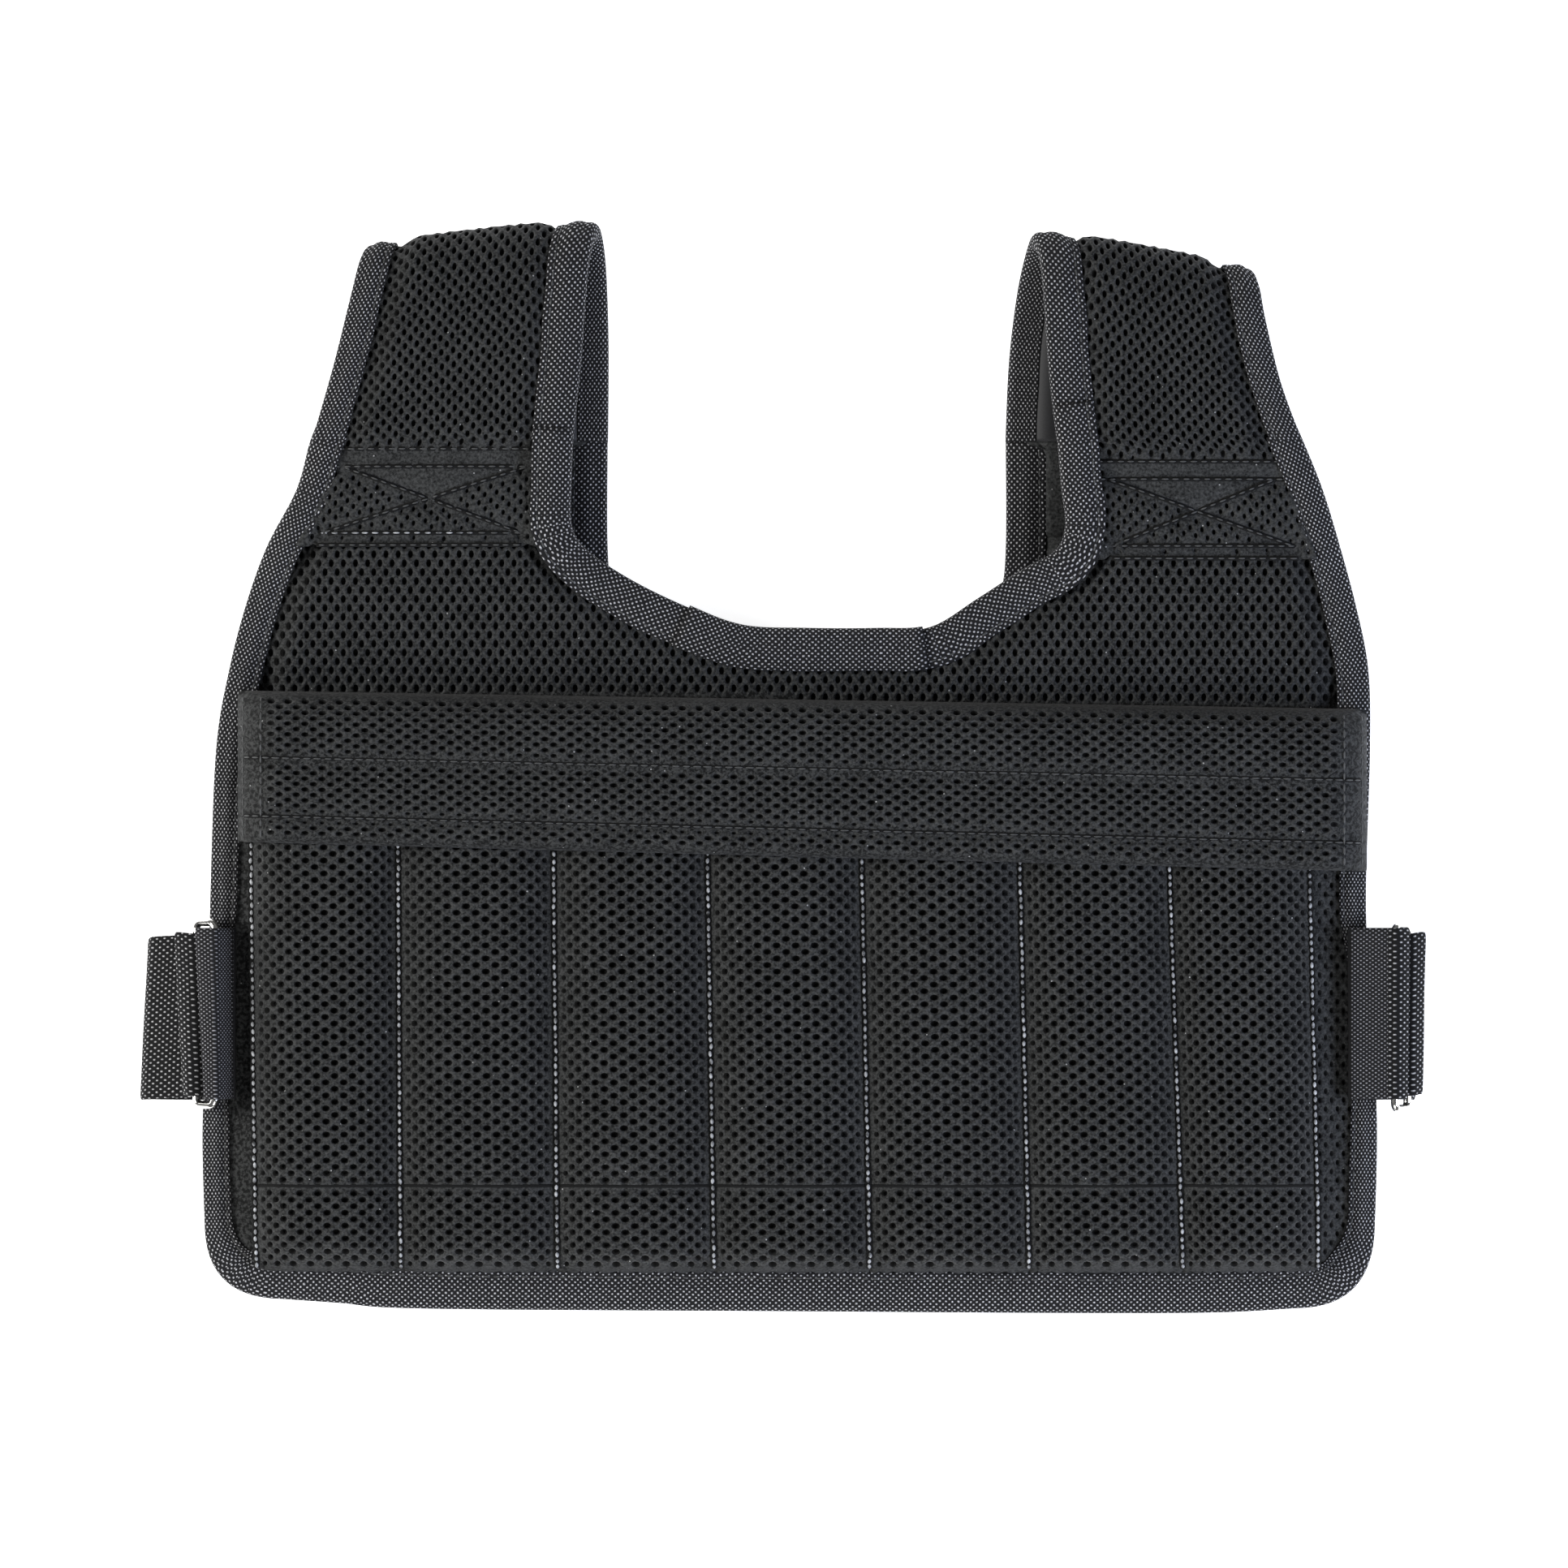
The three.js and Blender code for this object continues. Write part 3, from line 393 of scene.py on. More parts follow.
@dataclass(frozen=True)
class Knit:
    """How an air mesh repeats: two oval holes in each repeat, half a repeat apart.

    Attributes:
        pitch: The repeat across and along the cloth.
        hole: The width and height of a hole.
        turn: How far the rows are turned, in radians.
        depth: The depth of a hole.
        rim: How far the yarn between the holes stands out.
        simple: Whether the holes end in a point, as seen only from afar.
    """

    pitch: tuple[float, float]
    hole: tuple[float, float]
    turn: float = 0.0
    depth: float = 1.5
    rim: float = 0.3
    simple: bool = False


RIM_ANGLES = np.arange(8) * np.pi / 4
# a cell that is less open than this stays plain cloth
LEAST_OPEN = 0.48


@dataclass
class Cloth:
    """A stretch of air mesh laid over a surface, with its holes sunk into it.

    Its rules say which places it covers, how open the holes are there, and where places
    beyond its edge are moved to. The cells without a hole have the material plain; the
    holes' walls and floors have material 1, which is painted shade.
    """

    knit: Knit
    top: Surface
    under: Surface
    covers: FlatRule
    low: tuple[float, float]
    high: tuple[float, float]
    open_at: FlatRule | None = None
    clamp: FlatRule | None = None
    plain: int = 0

    def normals(self, flat: Array) -> Array:
        """The surface's unit normals at places on the cloth."""
        step = 0.4
        s, t = flat.T
        ds = self.top(s + step, t) - self.top(s - step, t)
        dt = self.top(s, t + step) - self.top(s, t - step)
        made = unit(np.cross(ds, dt))
        outward = self.top(s, t) - self.under(s, t)
        return made * np.sign(np.einsum("ij,ij->", made, outward))

    def build(self) -> Draft:
        """Lays the cloth.

        Returns:
            A closed body: pitted above and plain below.
        """
        knit = self.knit
        half = np.array(knit.pitch) / 2
        turn = np.array(
            [[math.cos(knit.turn), math.sin(knit.turn)], [-math.sin(knit.turn), math.cos(knit.turn)]]
        )
        middle = (np.array(self.low) + np.array(self.high)) / 2
        reach = np.linalg.norm(np.array(self.high) - np.array(self.low)) / 2
        most = np.ceil(reach / half).astype(int) + 2
        if knit.turn == 0:
            most = np.ceil((np.array(self.high) - middle) / half).astype(int) + 2
        i, j = np.meshgrid(*(np.arange(-count, count + 1) for count in most), indexing="ij")
        flat = np.stack([i * half[0], j * half[1]], axis=-1) @ turn + middle
        number = np.arange(i.size).reshape(i.shape)
        inner = np.zeros(i.shape, bool)
        inner[1:-1, 1:-1] = True
        cell = ((i + j) % 2 == 0) & inner & self.covers(flat.reshape(-1, 2)).reshape(i.shape)
        ci, cj = np.nonzero(cell)
        ring = np.stack(
            [number[ci + 1, cj], number[ci, cj + 1], number[ci - 1, cj], number[ci, cj - 1]], axis=1
        )
        used, ring = np.unique(ring, return_inverse=True)
        ring = ring.reshape(-1, 4)
        spots = flat.reshape(-1, 2)[used]
        moved = spots if self.clamp is None else self.clamp(spots)
        centres = flat[ci, cj]
        whole = np.isclose(moved, spots).all(axis=1)[ring].all(axis=1)
        open_ = np.where(whole, 1.0, 0.0)
        if self.open_at is not None:
            open_ = open_ * self.open_at(centres)
        pitted = open_ > LEAST_OPEN
        draft = Draft()
        above = draft.add_points(self.top(*moved.T) + knit.rim * self.normals(moved))
        below = draft.add_points(self.under(*moved.T))
        self._pits(draft, centres[pitted], ring[pitted] + above, open_[pitted], turn)
        draft.add_faces(ring[~pitted] + above, self.plain)
        draft.add_faces(ring[:, ::-1] + below, 0)
        self._walls(draft, ring, above, below)
        draft.face_outward()
        return draft

    def _pits(self, draft: Draft, centres: Array, ring: Array, open_: Array, turn: Array) -> None:
        """Adds the holes.

        Args:
            draft: The draft that takes them.
            centres: The middle of each cell that has one.
            ring: The numbers of each cell's corners.
            open_: How open each hole is.
            turn: The matrix that turns the rows.
        """
        knit = self.knit
        oval = np.stack([np.cos(RIM_ANGLES), np.sin(RIM_ANGLES)], axis=1) * knit.hole / 2
        oval = oval @ turn
        count = len(centres)

        def circle(share: float, depth: float) -> int:
            """Adds every hole's outline at a share of its size and at a depth."""
            flat = (centres[:, None] + oval[None] * (share * open_[:, None, None])).reshape(-1, 2)
            drop = (depth * np.repeat(open_, 8))[:, None]
            return draft.add_points(self.top(*flat.T) - self.normals(flat) * drop)

        each = np.arange(count)[:, None] * 8
        rim = circle(1.0, 0.05) + each + np.arange(8)
        for k in range(4):
            a, b = ring[:, k], ring[:, (k + 1) % 4]
            r = [rim[:, (2 * k + n) % 8] for n in range(3)]
            for face in ((a, b, r[1]), (a, r[1], r[0]), (b, r[2], r[1])):
                draft.add_faces(np.stack(face, axis=1), 0)
        # the walls and floor of each hole take material 1, which is painted shade that makes the hole
        # look deep
        if knit.simple:
            tip = draft.add_points(self.top(*centres.T) - self.normals(centres) * knit.depth)
            tips = tip + np.arange(count)
            for k in range(8):
                draft.add_faces(np.stack([rim[:, k], rim[:, (k + 1) % 8], tips], axis=1), 1)
            return
        foot = circle(0.8, knit.depth) + each + np.arange(8)
        for k in range(8):
            n = (k + 1) % 8
            draft.add_faces(np.stack([rim[:, k], rim[:, n], foot[:, n], foot[:, k]], axis=1), 1)
        draft.add_faces(foot, 1)

    def _walls(self, draft: Draft, ring: Array, above: int, below: int) -> None:
        """Closes the cloth along its edge, where a cell has no neighbour.

        Args:
            draft: The draft that takes the walls.
            ring: The numbers of each cell's corners.
            above: The number of the first point of the right side.
            below: The number of the first point of the wrong side.
        """
        start, end = ring.ravel(), np.roll(ring, -1, axis=1).ravel()
        key = np.minimum(start, end) * (ring.max() + 1) + np.maximum(start, end)
        _, place, times = np.unique(key, return_index=True, return_counts=True)
        edge = place[times == 1]
        a, b = start[edge], end[edge]
        draft.add_faces(np.stack([b + above, a + above, a + below, b + below], axis=1), 0)


def linear(code: int) -> tuple[float, float, float, float]:
    """An sRGB hex colour as linear light, for a shader socket.

    Args:
        code: The colour, such as 0xFFFFFF.

    Returns:
        Red, green, blue and full opacity.
    """
    parts = [(code >> shift & 255) / 255 for shift in (16, 8, 0)]
    light = [c / 12.92 if c <= 0.04045 else ((c + 0.055) / 1.055) ** 2.4 for c in parts]
    return (light[0], light[1], light[2], 1.0)


def add_node(
    tree: bpy.types.NodeTree, kind: str, inputs: dict[Any, Any] | None = None, **settings: Any
) -> bpy.types.Node:
    """Adds a node with its settings and links.

    Args:
        tree: The node tree that it goes into.
        kind: The node's type.
        inputs: What its inputs get, by name or number: a value, or the socket that feeds it.
        settings: Its own properties.

    Returns:
        The node.
    """
    node = tree.nodes.new(kind)
    for name, value in settings.items():
        setattr(node, name, value)
    for name, given in (inputs or {}).items():
        if isinstance(given, bpy.types.NodeSocket):
            tree.links.new(given, node.inputs[name])
        else:
            node.inputs[name].default_value = given
    return node


def blank_material(name: str) -> tuple[bpy.types.Material, bpy.types.Node]:
    """A new material and its shader node, ready to be dressed."""
    material = bpy.data.materials.new(name)
    material.use_nodes = True
    tree = material.node_tree
    tree.nodes.clear()
    shader = add_node(tree, "ShaderNodeBsdfPrincipled")
    add_node(tree, "ShaderNodeOutputMaterial", {"Surface": shader.outputs["BSDF"]})
    return material, shader


def dress(
    shader: bpy.types.Node,
    colour: bpy.types.NodeSocket,
    height: bpy.types.NodeSocket,
    bump: tuple[float, float],
    values: dict[str, float],
) -> None:
    """Gives a shader its colour, its relief and its uniform values.

    Args:
        shader: The shader node.
        colour: What gives the colour.
        height: What gives the relief.
        bump: How strongly the relief shows, and its depth in millimetres.
        values: The shader's other inputs by name.
    """
    tree = shader.id_data
    strength, depth = bump
    relief = add_node(
        tree, "ShaderNodeBump", {"Height": height, "Strength": strength, "Distance": depth * MM}
    )
    tree.links.new(colour, shader.inputs["Base Color"])
    tree.links.new(relief.outputs["Normal"], shader.inputs["Normal"])
    for name, value in values.items():
        shader.inputs[name].default_value = value


@dataclass(frozen=True)
class PolyesterMesh:
    """Black polyester spacer knit: matt, with a fine loop grain and faint fluff.

    The yarn loops of the real one are about 0.4 mm wide, too fine to show, so the grain
    is drawn about twice as coarse.
    """

    name: str
    dark: int = 0x0D0E0E
    light: int = 0x4A4B4B
    fluff: int = 0x9A9B9B
    # millimetres: the grain, the duller patches and the distance between specks of fluff
    loop: float = 0.85
    patch: float = 14.0
    fluff_pitch: float = 5.5
    # a speck's radius as a share of that distance
    fluff_size: float = 0.045
    roughness: float = 0.8
    # how much the grain and the patches change the tone, and the tone they change
    mottle: float = 0.62
    patchiness: float = 0.09
    tone: float = 0.47
    bump: float = 0.38

    def make(self) -> bpy.types.Material:
        """Makes the material."""
        material, shader = blank_material(self.name)
        new = partial(add_node, material.node_tree)
        place = new("ShaderNodeTexCoord").outputs["Object"]
        grain = new(
            "ShaderNodeTexNoise",
            {"Vector": place, "Scale": 1 / (self.loop * MM), "Detail": 2.0, "Roughness": 0.6},
        ).outputs["Fac"]
        patches = new(
            "ShaderNodeTexNoise", {"Vector": place, "Scale": 1 / (self.patch * MM), "Detail": 2.0}
        ).outputs["Fac"]
        tone = new(
            "ShaderNodeMath",
            {0: grain, 1: self.mottle, 2: self.tone - self.mottle / 2},
            operation="MULTIPLY_ADD",
        ).outputs[0]
        tone = new(
            "ShaderNodeMath",
            {0: patches, 1: self.patchiness, 2: tone},
            operation="MULTIPLY_ADD",
            use_clamp=True,
        ).outputs[0]
        ramp = new("ShaderNodeValToRGB", {"Fac": tone})
        stops = ((0.4, self.dark), (0.68, self.light))
        for element, (position, colour) in zip(ramp.color_ramp.elements, stops):
            element.position, element.color = position, linear(colour)
        specks = new(
            "ShaderNodeTexVoronoi",
            {"Vector": place, "Scale": 1 / (self.fluff_pitch * MM), "Randomness": 1.0},
        ).outputs["Distance"]
        near = new("ShaderNodeMath", {0: specks, 1: self.fluff_size}, operation="LESS_THAN")
        flecked = new(
            "ShaderNodeMix",
            {0: near.outputs[0], 6: ramp.outputs["Color"], 7: linear(self.fluff)},
            data_type="RGBA",
        ).outputs[2]
        values = {"Roughness": self.roughness, "IOR": 1.5, "Specular IOR Level": 0.25}
        values |= {"Sheen Weight": 0.05, "Sheen Roughness": 0.5}
        dress(shader, flecked, grain, (self.bump, 0.25), values)
        return material


@dataclass(frozen=True)
class WovenYarn:
    """Black woven polyester: the yarns that come to the top are small shiny beads.

    The weave repeats along and across the band as often as the real one. The yarns stray
    from their rows by uneven, and the beads begin at lowest, so that a higher one makes them
    smaller. Their pale colour is painted highlight on grooves of the yarn's own black. Real
    fuzz is about 0.1 mm across, too fine to show, so it is drawn coarser, and it dims some
    of the painted highlights.
    """

    name: str
    along: float
    across: float
    groove: int = 0x1A1A1C
    # the colour of the beads' tops, which is painted highlight
    bead: int = 0xE0E0E4
    roughness: float = 0.42
    bump: float = 1.0
    uneven: float = 0.7
    lowest: float = 0.2
    stray: float = 3.0
    fuzz: float = 0.5

    def make(self) -> bpy.types.Material:
        """Makes the material."""
        material, shader = blank_material(self.name)
        new = partial(add_node, material.node_tree)
        cloth = new("ShaderNodeUVMap", uv_map="weave").outputs["UV"]
        place = new("ShaderNodeTexCoord").outputs["Object"]
        stray = new(
            "ShaderNodeTexNoise", {"Vector": place, "Scale": 1 / (self.stray * MM), "Detail": 1.0}
        ).outputs["Color"]
        moved = new(
            "ShaderNodeVectorMath",
            {0: stray, 1: (self.uneven,) * 3, 2: cloth},
            operation="MULTIPLY_ADD",
        ).outputs[0]
        parts = new("ShaderNodeSeparateXYZ", {0: moved})
        waves = {}
        for number, (axis, pitch) in enumerate((("X", self.along), ("Y", self.across))):
            turns = {0: parts.outputs[axis], 1: 2 * math.pi / pitch}
            angle = new("ShaderNodeMath", turns, operation="MULTIPLY").outputs[0]
            waves[number] = new("ShaderNodeMath", {0: angle}, operation="COSINE").outputs[0]
        beads = new("ShaderNodeMath", waves, operation="MULTIPLY").outputs[0]
        height = new(
            "ShaderNodeMapRange", {"Value": beads, "From Min": self.lowest, "From Max": 0.9}
        ).outputs[0]
        fuzz = new(
            "ShaderNodeTexNoise", {"Vector": place, "Scale": 1 / (self.fuzz * MM), "Detail": 2.0}
        ).outputs["Fac"]
        tone = new("ShaderNodeMath", {0: height, 1: fuzz}, operation="MULTIPLY").outputs[0]
        ramp = new("ShaderNodeValToRGB", {"Fac": tone})
        # the ramp goes from the yarn's own black in the grooves to painted highlight on the beads
        stops = ((0.08, self.groove), (0.6, self.bead))
        for element, (position, colour) in zip(ramp.color_ramp.elements, stops):
            element.position, element.color = position, linear(colour)
        values = {"Specular IOR Level": 0.35, "IOR": 1.5}
        dress(shader, ramp.outputs["Color"], height, (self.bump, 0.35), values)
        gloss = new(
            "ShaderNodeMapRange", {"Value": height, "To Min": 1.0, "To Max": self.roughness}
        ).outputs[0]
        material.node_tree.links.new(gloss, shader.inputs["Roughness"])
        return material


@dataclass(frozen=True)
class PlainFinish:
    """A finish of one colour with slight unevenness: thread, lining, wire or the painted shade of the
    holes.

    Its grain is the size of the unevenness in millimetres, and its contrast says how
    much lighter and darker it gets.
    """

    name: str
    colour: int
    roughness: float
    metallic: float = 0.0
    grain: float = 0.3
    bump: float = 0.15
    contrast: float = 0.25

    def make(self) -> bpy.types.Material:
        """Makes the material."""
        material, shader = blank_material(self.name)
        new = partial(add_node, material.node_tree)
        place = new("ShaderNodeTexCoord").outputs["Object"]
        noise = new(
            "ShaderNodeTexNoise", {"Vector": place, "Scale": 1 / (self.grain * MM), "Detail": 2.0}
        ).outputs["Fac"]
        ramp = new("ShaderNodeValToRGB", {"Fac": noise})
        red, green, blue, _ = linear(self.colour)
        stops = ((0.3, 1 - self.contrast), (0.7, 1 + self.contrast))
        for element, (position, gain) in zip(ramp.color_ramp.elements, stops):
            element.position = position
            element.color = (red * gain, green * gain, blue * gain, 1.0)
        values = {"Roughness": self.roughness, "Metallic": self.metallic}
        dress(shader, ramp.outputs["Color"], noise, (self.bump, 0.1), values)
        return material


class Finishes:
    """Every material of the vest, made once."""

    def __init__(self) -> None:
        """Makes them all."""
        # warp-knitted polyester spacer mesh: dull black, its yarn a shade lighter than its holes
        self.mesh = PolyesterMesh("black_air_mesh").make()
        # the thin layer behind the holes, black like the yarn but made darker and without any shine as
        # painted shade, so that the holes and the stitched creases look deep
        self.depth = PlainFinish("air_mesh_inner_layer", 0x030303, 1.0, grain=0.5).make()
        # the same mesh squashed by seams: the holes are closed to dark streaks and specks
        self.pressed = PolyesterMesh(
            "pressed_air_mesh", dark=0x060707, light=0x3A3B3B, loop=1.1, mottle=1.5, bump=0.8
        ).make()
        # loosely woven black polyester tape: big beads in wavy rows, with a slight shine; their pale
        # colour is painted highlight
        self.tape = WovenYarn("woven_binding_tape", along=1.9, across=1.8).make()
        # heavy polyester webbing: long beads far apart, in straight rows between black grooves; their
        # pale colour is painted highlight
        self.coarse = WovenYarn(
            "coarse_webbing",
            along=2.9,
            across=1.83,
            groove=0x101011,
            bead=0xC8C8CA,
            uneven=0.3,
            lowest=0.32,
        ).make()
        # close polyester webbing: small beads that nearly touch, so it looks smoother; their grey is
        # painted highlight
        self.fine = WovenYarn(
            "fine_webbing", along=1.9, across=1.3, bead=0xB4B4BA, uneven=0.25, lowest=0.18
        ).make()
        # tightly woven polyester lining: plain dark grey with a soft sheen of light
        self.lining = PlainFinish("lining_cloth", 0x1C1C1F, 0.6, grain=0.6).make()
        # spun polyester thread: a grey line just lighter than the cloth
        self.thread = PlainFinish("polyester_thread", 0x484949, 0.55).make()
        # the same thread worn to fluff: nearly white in places and lost in others
        self.worn_thread = PlainFinish(
            "fluffy_grey_thread", 0x9A9C9F, 0.75, contrast=0.95, grain=2.6
        ).make()
        # drawn steel wire, plated with nickel: bright, warm white reflections
        self.nickel = PlainFinish(
            "polished_nickel_wire", 0xE4E3DF, 0.12, metallic=1.0, grain=3.0, bump=0.05, contrast=0.04
        ).make()


@dataclass(frozen=True)
class Seam:
    """A row of stitches: how long, far apart, wide, high and deep in the cloth they are."""

    stitch: float = 2.2
    gap: float = 0.9
    width: float = 0.55
    height: float = 0.4
    sink: float = 0.05

    def sew(self, line: Array, up: Array | None = None, seed: int = 1) -> Draft:
        """Sews along a line that lies on the cloth.

        Args:
            line: Points on the surface.
            up: The surface's normals there, or straight up where left out.
            seed: Which of many slight irregularities.

        Returns:
            A draft of all the stitches.
        """
        run = lengths(line)
        count = max(1, int(run[-1] / (self.stitch + self.gap)))
        dice = np.random.default_rng(seed)
        middle = (np.arange(count) + 0.5) * run[-1] / count + dice.uniform(-0.15, 0.15, count)
        centre = resample(line, run, middle)
        along = unit(resample(line, run, middle + 0.5) - resample(line, run, middle - 0.5))
        if up is None:
            up = np.broadcast_to([0.0, 0.0, 1.0], line.shape)
        above = resample(up, run, middle)
        above = unit(above - along * np.sum(above * along, axis=1, keepdims=True))
        across = np.cross(along, above)
        # a stitch is a bead of five rings of six points
        rows = np.linspace(-1, 1, 5)
        swell = np.sqrt(np.clip(1.06 - rows**2, 0.0, 1.0))
        turns = np.arange(6) * np.pi / 3
        shape = np.stack(
            [
                np.repeat(rows * self.stitch / 2, 6),
                (swell[:, None] * np.cos(turns) * self.width / 2).ravel(),
                (swell[:, None] * np.sin(turns) * self.height / 2).ravel(),
            ],
            axis=1,
        )
        stretch = dice.uniform(0.85, 1.1, count)
        points = (
            centre[:, None]
            + above[:, None] * (self.height / 2 - self.sink)
            + shape[None, :, :1] * along[:, None] * stretch[:, None, None]
            + shape[None, :, 1:2] * across[:, None]
            + shape[None, :, 2:] * above[:, None]
        )
        i, j = (g.ravel() for g in np.meshgrid(np.arange(4), np.arange(6), indexing="ij"))
        n = (j + 1) % 6
        quads = np.stack([i * 6 + j, i * 6 + n, i * 6 + 6 + n, i * 6 + 6 + j], axis=1)
        draft = Draft()
        draft.add_points(points)
        each = (np.arange(count) * len(shape))[:, None, None]
        draft.add_faces((quads[None] + each).reshape(-1, 4))
        ends = np.stack([np.arange(6)[::-1], np.arange(6) + 24])
        draft.add_faces((ends[None] + each).reshape(-1, 6))
        draft.face_outward()
        return draft


TAPE_SEAM = Seam(stitch=1.9, gap=1.0, height=0.3)

# share of the length, left and right share of half the width
FRONT_SIDES = (
    (0.078, 0.997, 1.0),
    (0.17, 1.0, 1.003),
    (0.27, 0.99, 0.994),
    (0.37, 0.987, 0.984),
    (0.513, 0.977, 0.991),
    (0.588, 0.954, 0.988),
    (0.648, 0.925, 0.966),
    (0.701, 0.889, 0.939),
    (0.752, 0.839, 0.91),
    (0.795, 0.817, 0.878),
    (0.812, 0.8045, 0.864),
)
BACK_SIDES = (
    (0.085, 0.985, 0.988),
    (0.17, 0.986, 0.99),
    (0.37, 0.973, 0.97),
    (0.513, 0.963, 0.976),
    (0.588, 0.938, 0.97),
    (0.648, 0.905, 0.94),
    (0.701, 0.855, 0.9),
    (0.752, 0.785, 0.83),
    (0.795, 0.745, 0.78),
    (0.808, 0.7415, 0.7755),
)
# share of half the width and of the length, from here to the necklines
HEM_LINE = (
    (-0.865, 0.0085),
    (-0.765, 0.005),
    (-0.62, 0.0),
    (0.0, -0.002),
    (0.45, -0.0038),
    (0.72, -0.0038),
    (0.865, 0.0),
)
FRONT_NECK = (
    (-0.3655, 0.807),
    (-0.367, 0.795),
    (-0.37, 0.755),
    (-0.369, 0.718),
    (-0.344, 0.697),
    (-0.27, 0.67),
    (-0.175, 0.645),
    (-0.08, 0.626),
    (0.03, 0.623),
    (0.15, 0.623),
    (0.24, 0.626),
    (0.32, 0.652),
    (0.4, 0.68),
    (0.455, 0.697),
    (0.47, 0.72),
    (0.463, 0.755),
    (0.457, 0.795),
    (0.4485, 0.828),
)
BACK_NECK = (
    (-0.31, 0.808),
    (-0.31, 0.795),
    (-0.31, 0.7),
    (-0.3, 0.655),
    (-0.265, 0.625),
    (-0.19, 0.603),
    (-0.08, 0.594),
    (0.03, 0.592),
    (0.15, 0.595),
    (0.25, 0.606),
    (0.325, 0.628),
    (0.361, 0.658),
    (0.371, 0.7),
    (0.371, 0.795),
    (0.371, 0.808),
)


def on_vest(across: float, up: float) -> tuple[float, float]:
    """A place given in shares of half the width and of the length."""
    return across * HALF_WIDTH, up * VEST_LENGTH


@dataclass
class Binding:
    """Tape folded over an edge: its section stands on the edge's line."""

    reach: float = BINDING_REACH
    fold: float = EDGE_LEVEL
    crown: float = 0.8

    def section(self, height: float) -> Array:
        """The tape's closed section.

        Args:
            height: The tape's height over its underside.

        Returns:
            Points of reach over the cloth and height over the underside.
        """
        half = height / 2
        turns = np.linspace(np.pi / 2, 3 * np.pi / 2, 11)
        # an oval gets squarer as this grows from 2
        square = 2.6
        cos, sin = np.cos(turns), np.sin(turns)
        round_x = -(self.fold + 2.0) * np.abs(cos) ** (2 / square) + 2.0
        round_y = half + half * np.sign(sin) * np.abs(sin) ** (2 / square)
        # shares of the reach, and how far the cloth is pressed down or swells there
        legs = np.array([1.0, 0.97, 0.86, 0.8, 0.74, 0.62, 0.45, 0.3])
        dip = np.array([-0.75, -0.15, 0.0, -0.28, 0.0, 0.6, 1.0, 0.7]) * self.crown
        top = np.stack([legs * self.reach, height + dip], axis=1)
        low = np.stack([legs[::-1] * self.reach, -dip[::-1]], axis=1)
        low[:, 1] = np.maximum(low[:, 1], 0.0)
        inner_low = np.array([[self.reach, TAPE_THICKNESS * 0.8], [0.5, TAPE_THICKNESS]])
        inner_top = np.array(
            [[0.5, height - TAPE_THICKNESS], [self.reach, height - TAPE_THICKNESS * 1.3]]
        )
        folded = np.stack([round_x, round_y], axis=1)
        return np.concatenate([top, folded, low, inner_low, inner_top])

    def along(self, line: Array, level: Surface, heights: Array, widths: Array, seed: int) -> Draft:
        """Folds the tape over a panel's edge.

        Args:
            line: The edge's flat line, with the cloth on its left.
            level: The panel's underside.
            heights: The tape's height at each point of the line.
            widths: How far it reaches over the cloth, as a share of its full reach.
            seed: Which of many slight irregularities.

        Returns:
            The tape's draft.
        """
        left = sideways(line)
        run = lengths(line)
        wander = widths * (1 + 0.035 * ripple(run, run * 0, 21.0, seed))
        sections = []
        for point, side, height, share in zip(line, left, heights, wander):
            section = self.section(height)
            reach = np.where(section[:, :1] > 0, share, 1.0)
            flat = point + section[:, :1] * side * reach
            z = level(flat[:, 0], flat[:, 1]) + section[:, 1]
            sections.append(np.column_stack([flat, z]))
        return swept(np.array(sections), lengths(self.section(BINDING_HEIGHT)))

    def stitch_line(self, line: Array, level: Surface, heights: Array, widths: Array) -> Array:
        """The line of stitches near the tape's inner edge, on its top.

        Args:
            line: The edge's flat line, with the cloth on its left.
            level: The panel's underside.
            heights: The tape's height at each point of the line.
            widths: How far it reaches over the cloth, as a share of its full reach.

        Returns:
            The line's points.
        """
        flat = line + sideways(line) * (self.reach * 0.8 * widths)[:, None]
        z = level(flat[:, 0], flat[:, 1]) + heights - 0.28 * self.crown
        return np.column_stack([flat, z])


